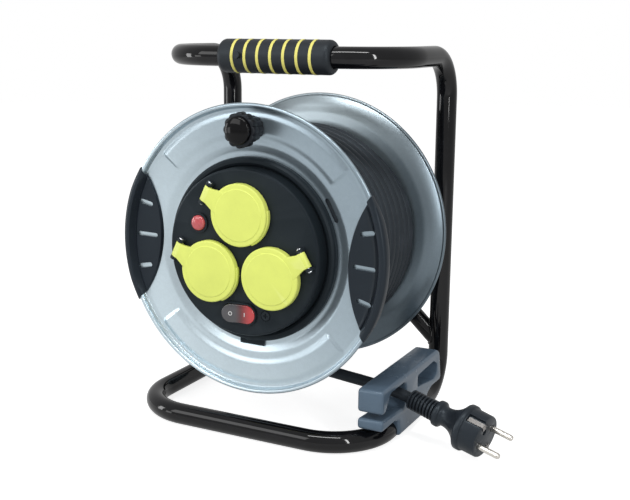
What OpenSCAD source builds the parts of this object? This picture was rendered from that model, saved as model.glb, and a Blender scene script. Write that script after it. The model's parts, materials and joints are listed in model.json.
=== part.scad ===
// Extension cord reel: a steel drum that turns on a bent tube stand, with three
// lidded socket outlets, a switch and a cut-out button in its front face, a crank
// knob on its front flange, and a plug park clamped on the base.
// Millimetres. X is to the right as seen from the front, Y to the rear, Z up.

/* [Drum] */
// Outer diameter of the front flange
flange_d = 240; // [230:2:256]
// How much larger the rear flange is
rear_extra_d = 2; // [0:1:6]
// Distance between the two rolled rims
drum_w = 134; // [124:2:160]
// Thickness of the flange sheet
sheet_t = 1.2; // [0.8:0.1:1.6]
// Radius of the rolled bead round each flange
bead_r = 3; // [2:0.25:4]
// Depth of the front flange from its rim to its seat
dish = 8; // [6:0.5:10]
// Outer diameter of the plastic core
core_d = 130; // [128:1:134]
// Wall of the plastic core
core_wall = 3; // [2.5:0.5:3]

/* [Cord] */
// Diameter of the supply cord
cord_d = 9.5; // [7:0.5:10.5]
// Outer diameter of the full winding
winding_d = 192; // [170:2:198]
// Gap between neighbouring turns
turn_gap = 0.5; // [0.45:0.05:1]

/* [Stand] */
// Outer diameter of the stand tube
tube_d = 17.5; // [16:0.5:20]
// Wall of the stand tube
tube_wall = 1.5; // [1:0.25:2.5]
// Distance between the centre lines of the two uprights
stand_w = 218; // [210:2:240]
// Height of the flange above the ground
ground_gap = 35; // [32:1:60]
// Gap between the front flange and the grip above it
hand_gap = 20.5; // [16:0.5:50]
// Gap between the rear rim and the uprights
rear_gap = 13; // [10:1:30]
// How far the front bar lies ahead of the front rim
base_reach = 13; // [8:1:40]
// How far the handle bar lies behind the front rim
handle_set = 32; // [20:1:50]
// Bend radius of the base corners
base_bend = 50; // [35:1:60]
// Bend radius from the base up to the uprights
foot_bend = 34; // [28:1:36]
// Bend radius from the uprights to the handle
top_bend = 36; // [28:1:50]
// Bend radius of the handle corners
handle_bend = 54; // [40:1:56]
// Height at which the struts meet the uprights
strut_foot = 52; // [52:1:70]

/* [Grip] */
// Diameter of the grip
grip_d = 29.5; // [27:0.5:34]
// Left end of the grip from the middle of the handle
grip_left = 44; // [42:0.5:52]
// Right end of the grip from the middle of the handle
grip_right = 58.5; // [55:0.5:64]
// Width of one coloured band
band_w = 2.6; // [1.5:0.1:4]
// Distance from band to band
band_pitch = 11.8; // [8:0.1:12]

/* [Axle] */
// Diameter of the axle
axle_d = 16; // [12:0.5:18]
// Radial running clearance of the drum on its axle
run_gap = 0.05; // [0.02:0.01:0.1]

/* [Socket panel] */
// Diameter of the raised face of the panel
face_d = 136; // [134:1:138]
// Height of the face in front of the rim plane
face_h = 11; // [9:0.5:14]
// Diameter of the ring that lies on the flange
ring_d = 153; // [151:0.5:155]
// Radius of the circle on which the sockets lie
socket_circle_r = 32.5; // [32:0.25:33.5]
// Bore of a socket recess
socket_bore = 39.5; // [38.5:0.1:40]
// Depth of a socket recess
socket_depth = 17.5; // [15:0.5:19]
// Diameter of a socket lid
lid_d = 51; // [50.5:0.1:51.5]
// Distance from a lid's middle to its hinge
hinge_reach = 35; // [34:0.25:36]
// Diameter of a lid's hinge pin
hinge_pin_d = 2.4; // [1.8:0.1:2.8]

/* [Switch and button] */
// Length of the switch bezel
bezel_l = 33; // [32:0.5:34]
// Height of the switch bezel
bezel_h = 19; // [18:0.5:19.5]
// Angle through which the rocker tips
rocker_throw = 12; // [8:1:14]
// Diameter of the reset button
button_d = 12.5; // [10:0.5:13]
// Travel of the reset button
button_travel = 2; // [1:0.5:2.5]

/* [Knob] */
// Distance of the crank knob in from the rim
knob_inset = 20.2; // [18:0.2:22]
// Length of the crank knob in front of the rim
knob_l = 26.5; // [24:0.5:40]
// Diameter of the crank knob over its lobes
knob_d = 28.5; // [26:0.5:30]
// Diameter of the shoulder on which the knob turns
post_d = 8; // [6:0.5:9]

/* [Guards] */
// Half length of a rim guard
guard_half = 57; // [52:1:62]
// Depth of a guard in from the rim
guard_depth = 33.5; // [30:0.5:34]
// Thickness of a guard
guard_t = 2.2; // [1.5:0.1:3]

/* [Plug park] */
// Width of the plug park
park_w = 22; // [21.5:0.5:24]
// Height of the plug park's top above the ground
park_h = 54; // [53:1:60]

/* [Plug] */
// Diameter of a plug pin
pin_d = 4.8; // [4:0.1:5]
// Length of a plug pin
pin_l = 19; // [17:0.5:20]
// Distance between the pins
pin_pitch = 19; // [18:0.5:20]
// Diameter of the plug's front body
plug_d = 35; // [34:0.5:37]

/* [Hidden] */
$fn = 64;
fine = 0.01;
slide_gap = 0.4;
tube_r = tube_d / 2;
cord_r = cord_d / 2;
front_r = flange_d / 2;
rear_r = front_r + rear_extra_d / 2;
core_r = core_d / 2;
half_w = stand_w / 2;

// Stand heights and depths, from the floor and from the front rim plane
axle_h = ground_gap + front_r;
handle_h = axle_h + front_r + hand_gap + grip_d / 2;
upright_y = drum_w + bead_r + rear_gap + tube_r;
front_bar_y = -base_reach;

// Depths inside the drum, measured forward from the front rim plane
seat_w = -dish;
seat_back_w = seat_w - sheet_t;
rear_plate = 9.2;
rear_front_w = -(drum_w - rear_plate);
rear_back_w = rear_front_w - sheet_t;

// The whole object is centred from front to rear on the origin
knob_nose = 2;
axle_tail = 16;
tail_y = upright_y + tube_r + axle_tail;
mid_y = (tail_y - knob_l - knob_nose) / 2;

// Sockets
socket_angle = [90, 210, 330];
socket_drop = 0.8;
hinge_angle = [154, 154, 31];
collar_r = 22.5;
collar_w = face_h + 3.5;
lid_w = face_h + 7;
lid_t = 2.5;
lid_skirt_t = 1.5;
hinge_w = collar_w;
barrel_r = 3;
barrel_l = 13;
ear_t = 2.6;
panel_t = 2.5;
hinge_pin_r = hinge_pin_d / 2;

// Switch, button and small parts on the panel
switch_at = [-2.5, -50.2];
button_at = [-40.2, 21.5];
screw_at = [21.7, -49.4];
knob_angle = 88;
knob_r = front_r - knob_inset;
knob_at = knob_r * [cos(knob_angle), sin(knob_angle)];

// Winding
wind_r = winding_d / 2 - cord_r;
turn_pitch = cord_d + turn_gap;
wind_front = dish + sheet_t + 0.6 + cord_r;
wind_room = -rear_front_w - 0.6 - cord_r - wind_front;
loop_rings = 24;
// The tube's straight stretches dip between its rings
layer_r = (wind_r - cord_r) * cos(180 / loop_rings) - 0.1;
turns = floor(loop_rings * wind_room / turn_pitch) / loop_rings;
wind_start = 210;

// Free stretch of the cord from the drum to the plug, in the reel's own frame
cord_route = [
    [-9, 43.5, 54.0], [1, 43.7, 53.2], [11, 43.9, 52.3], [21, 44.1, 51.3],
    [31, 44.4, 50.2], [41, 44.7, 49.1], [51, 45.0, 48.0], [61, 45.3, 46.8],
    [71, 45.6, 45.6], [81, 45.9, 44.5], [91, 46.0, 43.3], [101, 46.0, 42.0],
    [110, 45.8, 40.4], [119, 45.2, 38.4], [127.7, 44.0, 36.4]];
plug_yaw = -12.6;
plug_dip = 11.9;
plug_roll = -56;
plug_at = cord_route[len(cord_route) - 1];
plug_dir = [cos(plug_dip) * cos(plug_yaw), cos(plug_dip) * sin(plug_yaw), -sin(plug_dip)];

// Lengths along the plug, from the end of the cord
relief_l = 25;
collar_l = 5;
neck_l = 20.5;
plug_ring_l = 5;
plug_face = 70;

// ---------------------------------------------------------------- helpers

// Puts the reel's own frame on the origin: rim plane to the object's middle
module place() {
    translate([0, -mid_y, 0]) children();
}

// Drum frame: X right, Y up, Z forward out of the front rim plane, on the axle
module on_drum() {
    place() translate([0, 0, axle_h]) rotate([90, 0, 0]) children();
}

// Frame whose X runs along Y, Y along Z and Z along X
module side_on(x) {
    translate([x, 0, 0]) rotate([90, 0, 90]) children();
}

module ring(r_out, r_in, h) {
    difference() {
        cylinder(h = h, r = r_out);
        translate([0, 0, -1]) cylinder(h = h + 2, r = r_in);
    }
}

module slot_2d(length, width) {
    square([length - width, width], center = true);
    for (s = [-1, 1]) translate([s * (length - width) / 2, 0]) circle(d = width);
}

module straight_tube(length) {
    ring(tube_r, tube_r - tube_wall, length);
}

module bent_tube(radius) {
    rotate_extrude(angle = 90) translate([radius, 0]) difference() {
        circle(r = tube_r);
        circle(r = tube_r - tube_wall);
    }
}

// A U of tube in the XY plane, open to the rear: bar, two corners, two arms
module tube_u(bar_y, radius, arm_end_y) {
    corner_x = half_w - radius;
    translate([-corner_x, bar_y, 0]) rotate([0, 90, 0]) straight_tube(2 * corner_x);
    for (s = [0, 1]) mirror([s, 0, 0]) {
        translate([corner_x, bar_y + radius, 0]) rotate([0, 0, -90]) bent_tube(radius);
        translate([half_w, bar_y + radius, 0]) rotate([-90, 0, 0])
            straight_tube(arm_end_y - bar_y - radius);
    }
}

function unit(v) = v / norm(v);

// Points of an arc that rounds corner b between a and c
function corner(a, b, c, r, steps = 5) =
    let (u = unit(a - b), v = unit(c - b), half = acos(u * v) / 2,
         mid = b + unit(u + v) * r / sin(half),
         from = b + u * r / tan(half) - mid, to = b + v * r / tan(half) - mid,
         a0 = atan2(from.y, from.x), turn = atan2(to.y, to.x) - a0,
         sweep = turn > 180 ? turn - 360 : turn < -180 ? turn + 360 : turn)
    [for (i = [0:steps]) mid + r * [cos(a0 + sweep * i / steps), sin(a0 + sweep * i / steps)]];

// Outline with each corner rounded by its own radius
function rounded(pts, radii) =
    let (n = len(pts))
    [for (i = [0:n - 1])
        each radii[i] == 0 ? [pts[i]] : corner(pts[(i + n - 1) % n], pts[i], pts[(i + 1) % n], radii[i])];

// Directions along a path, with the first and last given
function along(path, first, last) =
    let (n = len(path))
    [for (i = [0:n - 1]) i == 0 ? first : i == n - 1 ? last : unit(path[i + 1] - path[i - 1])];

// Rings of points round a path: refs[i] sets where side 0 of ring i points
function tube_rings(path, dirs, refs, r, sides) =
    [for (i = [0:len(path) - 1])
        let (u = unit(refs[i] - (refs[i] * dirs[i]) * dirs[i]), v = cross(dirs[i], u))
        for (k = [0:sides - 1]) path[i] + r * (cos(360 * k / sides) * u + sin(360 * k / sides) * v)];

function tube_faces(rings, sides) = [
    for (k = [1:sides - 2]) [0, k, k + 1],
    for (i = [0:rings - 2]) for (k = [0:sides - 1])
        let (a = i * sides + k, b = i * sides + (k + 1) % sides)
        each [[a, a + sides, b + sides], [a, b + sides, b]],
    for (k = [1:sides - 2])
        let (top = (rings - 1) * sides) [top, top + k + 1, top + k]];

module swept_tube(path, dirs, refs, r, sides) {
    polyhedron(tube_rings(path, dirs, refs, r, sides), tube_faces(len(path), sides));
}

// ---------------------------------------------------------------- stand

module park_screw_places() {
    for (y = [52, 94]) translate([half_w, y, tube_r]) rotate([0, -90, 0]) children();
}

module base_tube() color("#111214") place() {
    difference() {
        union() {
            translate([0, 0, tube_r])
                tube_u(front_bar_y, base_bend, upright_y - foot_bend);
            for (s = [0, 1]) mirror([s, 0, 0])
                translate([0, upright_y - foot_bend, tube_r + foot_bend])
                    side_on(half_w) rotate([0, 0, -90]) bent_tube(foot_bend);
        }
        park_screw_places() cylinder(h = half_w, r = park_screw_r);
    }
}

module upright(side) {
    foot = tube_r + foot_bend;
    color("#111214") place() translate([side * half_w, upright_y, foot])
        straight_tube(handle_h - top_bend - foot);
}

module upright_left() upright(-1);

module upright_right() upright(1);

module handle_tube() color("#111214") place() {
    difference() {
        union() {
            translate([0, 0, handle_h]) tube_u(handle_set, handle_bend, upright_y - top_bend);
            for (s = [0, 1]) mirror([s, 0, 0])
                translate([0, upright_y - top_bend, handle_h - top_bend])
                    side_on(half_w) bent_tube(top_bend);
        }
        grip_screw_place() cylinder(h = grip_d, r = grip_screw_r, center = true);
    }
}

block_r = 25;
strut_r = tube_r - 1;

module strut(side) {
    drop = axle_h - strut_foot;
    lean = atan2(half_w, -drop);
    color("#111214") place() difference() {
        translate([0, upright_y, axle_h]) rotate([0, side * lean, 0])
            ring(strut_r, strut_r - tube_wall, norm([half_w, drop]));
        translate([side * half_w, upright_y, 0]) cylinder(h = handle_h, r = tube_r);
        translate([0, upright_y + tube_r + 1, axle_h]) rotate([90, 0, 0])
            cylinder(h = tube_d + 2, r = block_r);
    }
}

module strut_left() strut(-1);

module strut_right() strut(1);

module axle_block() color("#111214") place()
    translate([0, upright_y + tube_r, axle_h]) rotate([90, 0, 0]) difference() {
        union() {
            cylinder(h = tube_d, r = block_r);
            translate([0, 0, tube_d]) cylinder(h = 2, r1 = block_r, r2 = block_r - 2);
            translate([0, 0, -2]) cylinder(h = 2, r1 = block_r - 2, r2 = block_r);
        }
        translate([0, 0, -3]) cylinder(h = tube_d + 6, r = axle_d / 2);
    }

// ---------------------------------------------------------------- axle

hub_front_w = -64;
bush_flange_t = 2;
bush_r = axle_d / 2 + 3;
hub_r = bush_r + 4;
axle_front_w = hub_front_w + bush_flange_t + 0.3;
spacer_w = rear_back_w - bush_flange_t - 0.3;
axle_screw_r = 3;
block_front_w = -(upright_y - tube_r - 2);

module axle() color("#a8adb2") on_drum() difference() {
    union() {
        translate([0, 0, -(tail_y - 3)])
            cylinder(h = tail_y - 3 + axle_front_w, r = axle_d / 2);
        translate([0, 0, -tail_y]) cylinder(h = 3, r1 = axle_d / 2 - 1.5, r2 = axle_d / 2);
    }
    translate([0, 0, axle_front_w - 20]) cylinder(h = 21, r = axle_screw_r);
}

module axle_spacer() color("#3a3d40") on_drum()
    translate([0, 0, block_front_w]) ring(hub_r - 2, axle_d / 2, spacer_w - block_front_w);

module axle_washer() color("#c2c6ca") on_drum()
    translate([0, 0, axle_front_w]) ring(bush_r + 2, axle_screw_r, 2);

module axle_screw() color("#c2c6ca") on_drum() difference() {
    union() {
        translate([0, 0, axle_front_w - 18]) cylinder(h = 20, r = axle_screw_r);
        translate([0, 0, axle_front_w + 2]) cylinder(h = 3, r = 6.5);
        translate([0, 0, axle_front_w + 5]) cylinder(h = 1.5, r1 = 6.5, r2 = 4.5);
    }
    translate([0, 0, axle_front_w + 4]) cylinder(h = 3, r = 2.5, $fn = 6);
}

module axle_nut() color("#c2c6ca") on_drum() {
    back_w = -(upright_y + tube_r + 2);
    translate([0, 0, back_w - 2]) ring(axle_d / 2 + 6, axle_d / 2, 2);
    translate([0, 0, back_w - 12]) difference() {
        cylinder(h = 10, r = axle_d / 2 + 5, $fn = 6);
        translate([0, 0, -1]) cylinder(h = 12, r = axle_d / 2);
    }
}

// ---------------------------------------------------------------- grip

band_count = 7;
band_first = 17.3;
band_lift = 0.4;
grip_screw_r = 1.75;

module on_handle() {
    place() translate([0, handle_set, handle_h]) rotate([0, 90, 0]) children();
}

module grip_screw_place() {
    x = -grip_left + band_first + band_pitch / 2;
    translate([x, handle_set, handle_h]) rotate([86, 0, 0]) children();
}

module band_rings(r_out, r_in) {
    for (i = [0:band_count - 1])
        translate([0, 0, -grip_left + band_first + i * band_pitch - band_w / 2])
            ring(r_out, r_in, band_w);
}

module grip() color("#2b2d30") {
    end = 9;
    r = grip_d / 2;
    outline = rounded([[tube_r, -grip_left], [r, -grip_left], [r, grip_right], [tube_r, grip_right]],
        [0, 4.5, 4.5, 0]);
    difference() {
        on_handle() difference() {
            rotate_extrude() polygon(outline);
            band_rings(r + 1, r - band_lift);
        }
        place() grip_screw_place() {
            translate([0, 0, r - 3]) cylinder(h = end, r = 2.8);
            cylinder(h = grip_d, r = grip_screw_r);
        }
    }
}

module grip_bands() color("#e3d75a") on_handle()
    band_rings(grip_d / 2 + band_lift, grip_d / 2 - band_lift);

module grip_screw() color("#c9cdd1") place() grip_screw_place() difference() {
    union() {
        translate([0, 0, tube_r - 4]) cylinder(h = grip_d / 2 - tube_r + 1, r = grip_screw_r);
        translate([0, 0, grip_d / 2 - 3]) cylinder(h = 1.4, r = 2.5);
        translate([0, 0, grip_d / 2 - 1.6]) cylinder(h = 0.6, r1 = 2.5, r2 = 1.9);
    }
    for (a = [0, 90]) rotate([0, 0, a])
        translate([-1.5, -0.35, grip_d / 2 - 1.6]) cube([3, 0.7, 2]);
}

// ---------------------------------------------------------------- plug park

park_screw_r = 1.8;
saddle_wall = park_w / 2 - tube_r;

module plug_park() color("#56636e") place() {
    top = park_h;
    wall_z = 4.5;
    clip_start = front_bar_y + base_bend;
    outline = rounded([
        [1, 34.6], [1, top], [132, top], [138, 24], [114, 24], [104, 20.5],
        [94, wall_z], [clip_start + 2, wall_z], [clip_start + 0.2, tube_d], [clip_start - 8, 20.5],
        [1, 20.5], [1, 29.6], [46, 26.5], [51.5, 33], [51.5, 47.6], [18, 47.2], [8, 34.6]],
        [2.5, 3, 8, 4, 4, 3, 1.5, 1.5, 0, 4, 2.5, 2.5, 4, 3, 5, 5, 4]);
    pocket = rounded([[78, 35], [78, 45], [117, 46.5], [126, 42], [126, 33], [117, 30]],
        [2, 2, 4, 3, 3, 4]);
    pocket_depth = 14;
    difference() {
        side_on(half_w - park_w / 2) linear_extrude(park_w) polygon(outline);
        translate([half_w, clip_start - 50, tube_r]) rotate([-90, 0, 0])
            cylinder(h = 145, r = tube_r);
        side_on(half_w + park_w / 2 - pocket_depth) linear_extrude(park_w) polygon(pocket);
        park_screw_places() cylinder(h = half_w, r = park_screw_r);
    }
}

module park_screws() color("#c2c6ca") place() park_screw_places() {
    translate([0, 0, tube_r - tube_wall - 2])
        cylinder(h = tube_wall + saddle_wall + 2, r = park_screw_r);
    translate([0, 0, tube_r + saddle_wall]) cylinder(h = 1.2, r = 3.6);
    translate([0, 0, tube_r + saddle_wall + 1.2]) cylinder(h = 0.8, r1 = 3.6, r2 = 2.6);
}

// ---------------------------------------------------------------- cord and plug

module supply_cord() color("#1b1c1e") place() {
    start = unit(cord_route[1] - cord_route[0]);
    swept_tube(cord_route, along(cord_route, start, plug_dir),
        [for (p = cord_route) [0, 0, 1]], cord_r, 10);
}

// Plug frame: Z along the plug from the cord's end, X through both pins
module on_plug() {
    place() translate(plug_at) rotate([0, 0, plug_yaw]) rotate([0, 90 + plug_dip, 0])
        rotate([0, 0, plug_roll]) children();
}

module plug_relief() color("#1b1c1e") on_plug() {
    ribs = 8;
    rib_pitch = relief_l / ribs;
    cylinder(h = relief_l, r = cord_r + 1.6);
    for (i = [0:ribs - 1]) translate([0, 0, i * rib_pitch]) {
        cylinder(h = rib_pitch * 0.3, r1 = cord_r + 2.8, r2 = cord_r + 3.6);
        translate([0, 0, rib_pitch * 0.3]) cylinder(h = rib_pitch * 0.3, r = cord_r + 3.6);
    }
}

strip_w = 5;
strip_t = 0.8;
groove_w = 7;
groove_d = 3;

// Each pin is held in the body by a thinner root, and its shoulder stands off the face
pin_root_l = 12;
pin_root_r = pin_d / 2 - 0.4;
pin_shoulder = 0.3;

module plug_body() color("#1f2123") on_plug() {
    ring_r = plug_d / 2 + 1.5;
    neck_r = 7.8;
    ring_z = relief_l + collar_l + neck_l;
    outline = concat(
        [[0, relief_l], [9.6, relief_l], [10.8, relief_l + 1.2], [10.8, relief_l + collar_l - 1],
         [9.8, relief_l + collar_l]],
        [for (i = [0:6]) let (t = i / 6)
            [neck_r + (ring_r - neck_r) * pow(t, 2.6), relief_l + collar_l + 1 + (neck_l - 1) * t]],
        [[ring_r, ring_z + plug_ring_l - 1], [ring_r - 1, ring_z + plug_ring_l],
         [plug_d / 2, ring_z + plug_ring_l], [plug_d / 2, plug_face - 1],
         [plug_d / 2 - 1, plug_face], [0, plug_face]]);
    difference() {
        rotate_extrude() polygon(outline);
        for (s = [-1, 1]) {
            translate([-groove_w / 2, s > 0 ? plug_d / 2 - groove_d : -plug_d / 2 - 1, ring_z + plug_ring_l])
                cube([groove_w, groove_d + 1, plug_face]);
            translate([s * pin_pitch / 2, 0, plug_face - pin_root_l]) cylinder(h = pin_l, r = pin_root_r);
        }
    }
}

module plug_pins() color("#d5d3cc") on_plug() for (s = [-1, 1])
    translate([s * pin_pitch / 2, 0, plug_face]) {
        tip = pin_d * 0.4;
        translate([0, 0, -pin_root_l]) cylinder(h = pin_root_l + pin_shoulder + fine, r = pin_root_r);
        translate([0, 0, pin_shoulder]) cylinder(h = pin_l - tip - pin_shoulder, r = pin_d / 2);
        translate([0, 0, pin_l - tip]) cylinder(h = tip, r1 = pin_d / 2, r2 = pin_d / 4);
    }

module plug_earth_strips() color("#d5d3cc") on_plug() for (a = [0, 180]) rotate([0, 0, a]) {
    floor_y = plug_d / 2 - groove_d;
    ring_z = relief_l + collar_l + neck_l + plug_ring_l;
    translate([-strip_w / 2, floor_y, ring_z]) cube([strip_w, strip_t, plug_face - ring_z + strip_t]);
    translate([-strip_w / 2, floor_y - 4, plug_face]) cube([strip_w, 4 + fine, strip_t]);
}

// ---------------------------------------------------------------- flanges

pad_in = front_r - 25.5;
pad_out = front_r - 9;
pad_half = 49.5;
pad_lift = 1;
bevel_in = [front_r - 40, seat_w];
plate_in = [front_r - 33, -dish + 3];
plate_out = [front_r - 8, -bead_r];

function between(a, b, r) = a.y + (r - a.x) * (b.y - a.y) / (b.x - a.x);
function plate_w(r) = r < plate_in.x ? between(bevel_in, plate_in, r) : between(plate_in, plate_out, r);

module pad(r0, r1, low, high, half) {
    slope = 1.2;
    for (a = [89, 269]) rotate([0, 0, a - half]) rotate_extrude(angle = 2 * half)
        polygon([[r0, plate_w(r0) + low], [r0 + slope, plate_w(r0 + slope) + high],
            [r1 - slope, plate_w(r1 - slope) + high], [r1, plate_w(r1) + low]]);
}

hole_r = core_r - core_wall + 0.3;
slot_r_place = ring_d / 2 + 3.4;
tab_angle = -90.3;

module front_flange() color("#b4c6d2") on_drum() {
    bead_at = front_r - bead_r;
    difference() {
        union() {
            rotate_extrude($fn = 128) {
                polygon([[hole_r, seat_w], bevel_in, plate_in, plate_out,
                    [bead_at - 1.5, -bead_r / 2], [bead_at - 0.5, -bead_r / 2 - sheet_t],
                    [plate_out.x, plate_out.y - sheet_t], [plate_in.x + 0.4, plate_in.y - sheet_t],
                    [bevel_in.x + 0.4, seat_back_w], [hole_r, seat_back_w]]);
                translate([bead_at, 0]) circle(r = bead_r);
            }
            pad(pad_in, pad_out, -0.2, pad_lift, pad_half);
        }
        pad(pad_in + 1.2, pad_out - 1.2, -sheet_t - 0.3, pad_lift - sheet_t, pad_half - 0.8);
        rotate([0, 0, 28.3]) translate([slot_r_place, 0, seat_back_w - 5]) rotate([0, 0, 90])
            linear_extrude(20) slot_2d(21, 4.4);
        translate([knob_at.x, knob_at.y, -20]) cylinder(h = 30, r = knob_screw_r);
    }
}

module flange_screw_places() {
    for (i = [0:5]) rotate([0, 0, 60 * i]) translate([core_r - 16, 0, rear_back_w]) children();
}

module rear_flange() color("#8fa3b1") on_drum() {
    bead_at = rear_r - bead_r;
    step_r = rear_r - 22;
    difference() {
        union() {
            rotate_extrude($fn = 128) translate([bead_at, -drum_w]) circle(r = bead_r);
            rotate_extrude($fn = 128) polygon([[bush_r, rear_front_w], [step_r, rear_front_w], [step_r + 6, -drum_w + 6.5],
                [bead_at - 4, -drum_w + bead_r], [bead_at - 1.5, -drum_w + bead_r / 2],
                [bead_at - 0.5, -drum_w + bead_r / 2 - sheet_t], [bead_at - 4, -drum_w + bead_r - sheet_t],
                [step_r + 5.6, -drum_w + 6.5 - sheet_t], [step_r - 0.4, rear_back_w], [bush_r, rear_back_w]]);
        }
        flange_screw_places() translate([0, 0, -1]) cylinder(h = sheet_t + 2, r = flange_screw_r);
    }
}

flange_screw_r = 1.5;

module flange_screws() color("#c2c6ca") on_drum() flange_screw_places() {
    cylinder(h = 12, r = flange_screw_r);
    translate([0, 0, -1.4]) cylinder(h = 1.4, r = 4);
    translate([0, 0, -2.4]) cylinder(h = 1, r1 = 2.8, r2 = 4);
}

// ---------------------------------------------------------------- core and winding

lead_angle = 28.3;
lead_w = -30;

module drum_core() color("#26282b") on_drum() difference() {
    union() {
        translate([0, 0, rear_front_w])
            ring(core_r, core_r - core_wall, seat_back_w - rear_front_w);
        translate([0, 0, rear_front_w]) cylinder(h = hub_front_w - rear_front_w, r = hub_r);
        translate([0, 0, hub_front_w - 4]) cylinder(h = 4, r = core_r - 1);
        for (i = [0:5]) rotate([0, 0, 60 * i]) translate([hub_r - 1, -1.25, rear_front_w])
            cube([core_r - hub_r, 2.5, hub_front_w - rear_front_w - 2]);
        flange_screw_places() translate([0, 0, sheet_t]) cylinder(h = 16, r = 4.5);
    }
    translate([0, 0, rear_front_w - 1])
        cylinder(h = hub_front_w - rear_front_w + 2, r = bush_r);
    flange_screw_places() cylinder(h = 12 + sheet_t, r = flange_screw_r);
    rotate([0, 0, lead_angle]) translate([0, 0, lead_w]) rotate([0, 90, 0])
        cylinder(h = core_r + 1, r = cord_r);
}

module bush(flange_w, forward) {
    length = 14;
    translate([0, 0, flange_w]) mirror([0, 0, forward ? 0 : 1]) {
        ring(bush_r + 3, axle_d / 2 + run_gap, bush_flange_t);
        translate([0, 0, -length]) ring(bush_r, axle_d / 2 + run_gap, length + fine);
    }
}

module front_bush() color("#d9d6cc") on_drum() bush(hub_front_w, true);

module rear_bush() color("#d9d6cc") on_drum() bush(rear_back_w, false);

// Centre line of one end of the winding: where it stops and which way it points
function wind_point(turn) =
    let (a = wind_start + 360 * turn)
    [wind_r * cos(a), wind_r * sin(a), -(wind_front + turn * turn_pitch)];
function wind_dir(turn) =
    let (a = wind_start + 360 * turn)
    unit([-wind_r * sin(a), wind_r * cos(a), -turn_pitch / (2 * PI)]);

wind_turns = [for (i = [0:turns * loop_rings]) i / loop_rings];
wind_path = concat(
    [wind_point(0) - cord_d * wind_dir(0)],
    [for (t = wind_turns) wind_point(t)],
    [wind_point(turns) + cord_d * wind_dir(turns)]);
wind_dirs = concat([wind_dir(0)], [for (t = wind_turns) wind_dir(t)], [wind_dir(turns)]);
wind_refs = concat([wind_point(0)], [for (t = wind_turns) wind_point(t)], [wind_point(turns)]);

// Least distance between centre points half a turn or more apart, less a diameter
wind_gap = min([for (i = [0:len(wind_path) - 1])
    for (j = [i + loop_rings / 2:len(wind_path) - 1]) norm(wind_path[i] - wind_path[j])]) - cord_d;
echo(least_gap_between_turns = wind_gap);

module cord_winding() color("#1b1c1e") on_drum()
    swept_tube(wind_path, wind_dirs, [for (p = wind_refs) [p.x, p.y, 0]], cord_r, 6);

// The cord comes up from the layer below at each end of the outer layer
module climb(turn, way) {
    end = wind_point(turn) + way * cord_d * wind_dir(turn);
    turn_z = atan2(way * wind_dir(turn).y, way * wind_dir(turn).x);
    lift = asin(way * wind_dir(turn).z);
    translate(end) rotate([0, 90 - lift, turn_z]) {
        cylinder(h = cord_d / 2, r = cord_r);
        translate([0, 0, cord_d / 2]) sphere(r = cord_r, $fn = 24);
    }
    translate([0, 0, end.z]) rotate([0, 90, atan2(end.y, end.x) + way * 3])
        cylinder(h = wind_r, r = cord_r * 0.7);
}

module cord_core() color("#1b1c1e") on_drum() difference() {
    union() {
        translate([0, 0, rear_front_w + 0.4])
            cylinder(h = seat_back_w - rear_front_w - 0.8, r = layer_r, $fn = 96);
        climb(0, -1);
        climb(turns, 1);
    }
    translate([0, 0, rear_front_w - 1]) cylinder(h = drum_w, r = core_r);
}

module inner_lead() color("#1b1c1e") on_drum() rotate([0, 0, lead_angle])
    translate([30, 0, lead_w]) rotate([0, 90, 0]) cylinder(h = core_r - 30.5, r = cord_r);

// ---------------------------------------------------------------- socket panel

module at_socket(i) {
    a = socket_angle[i];
    translate([socket_circle_r * cos(a), socket_circle_r * sin(a) - socket_drop, 0])
        rotate([0, 0, hinge_angle[i] - 180]) children();
}

module hinge_ears() {
    for (s = [-1, 1]) translate([-hinge_reach, s * (barrel_l / 2 + slide_gap + ear_t / 2), 0]) {
        translate([0, 0, hinge_w]) rotate([90, 0, 0]) cylinder(h = ear_t, r = barrel_r, center = true);
        translate([-barrel_r, -ear_t / 2, face_h - 1]) cube([2 * barrel_r, ear_t, hinge_w - face_h + 1]);
    }
}

module hinge_bores(r) {
    translate([-hinge_reach, 0, hinge_w]) rotate([90, 0, 0]) cylinder(h = 40, r = r, center = true);
}

spigot_l = 12;

module socket_panel() color("#26292d") on_drum() {
    face_r = face_d / 2;
    ring_r = ring_d / 2;
    inner_r = hole_r - 0.3;
    difference() {
        union() {
            rotate_extrude($fn = 96) polygon([
                [inner_r - panel_t, seat_w - spigot_l], [inner_r, seat_w - spigot_l], [inner_r, seat_w],
                [ring_r, seat_w], [ring_r, seat_w + 4], [ring_r - 0.8, seat_w + 5.8],
                [ring_r - 2.4, seat_w + 7], [ring_r - 4.6, seat_w + 7], [face_r + 2, seat_w + 6],
                [face_r + 1.2, seat_w + 4.6], [face_r + 0.7, face_h - 1.6], [face_r - 0.2, face_h - 0.4],
                [face_r - 1.2, face_h], [0, face_h], [0, face_h - panel_t], [face_r - 3, face_h - panel_t],
                [face_r - 1.6, seat_w + 4.6 - panel_t], [inner_r - panel_t, seat_w + 4.6 - panel_t]]);
            for (i = [0:2]) at_socket(i) hinge_ears();
            rotate([0, 0, tab_angle]) translate([ring_r - 4, -11, seat_w]) cube([8, 22, 2.4]);
            translate([screw_at.x, screw_at.y, 0]) cylinder(h = face_h - 1.3, r = 5.4);
        }
        for (i = [0:2]) at_socket(i) {
            cylinder(h = 2 * face_h, r = collar_r);
            hinge_bores(hinge_pin_r);
        }
        translate([switch_at.x, switch_at.y, 0])
            linear_extrude(2 * face_h) slot_2d(bezel_l - 1.2, bezel_h - 1.2);
        translate([button_at.x, button_at.y, 0]) cylinder(h = 2 * face_h, r = button_d / 2 + 1.4);
        translate([screw_at.x, screw_at.y, -1]) cylinder(h = 2 * face_h, r = panel_screw_r);
        translate([screw_at.x, screw_at.y, face_h - 1.2]) cylinder(h = 3, r = 4.4);
    }
}

panel_screw_r = 1.6;

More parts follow.
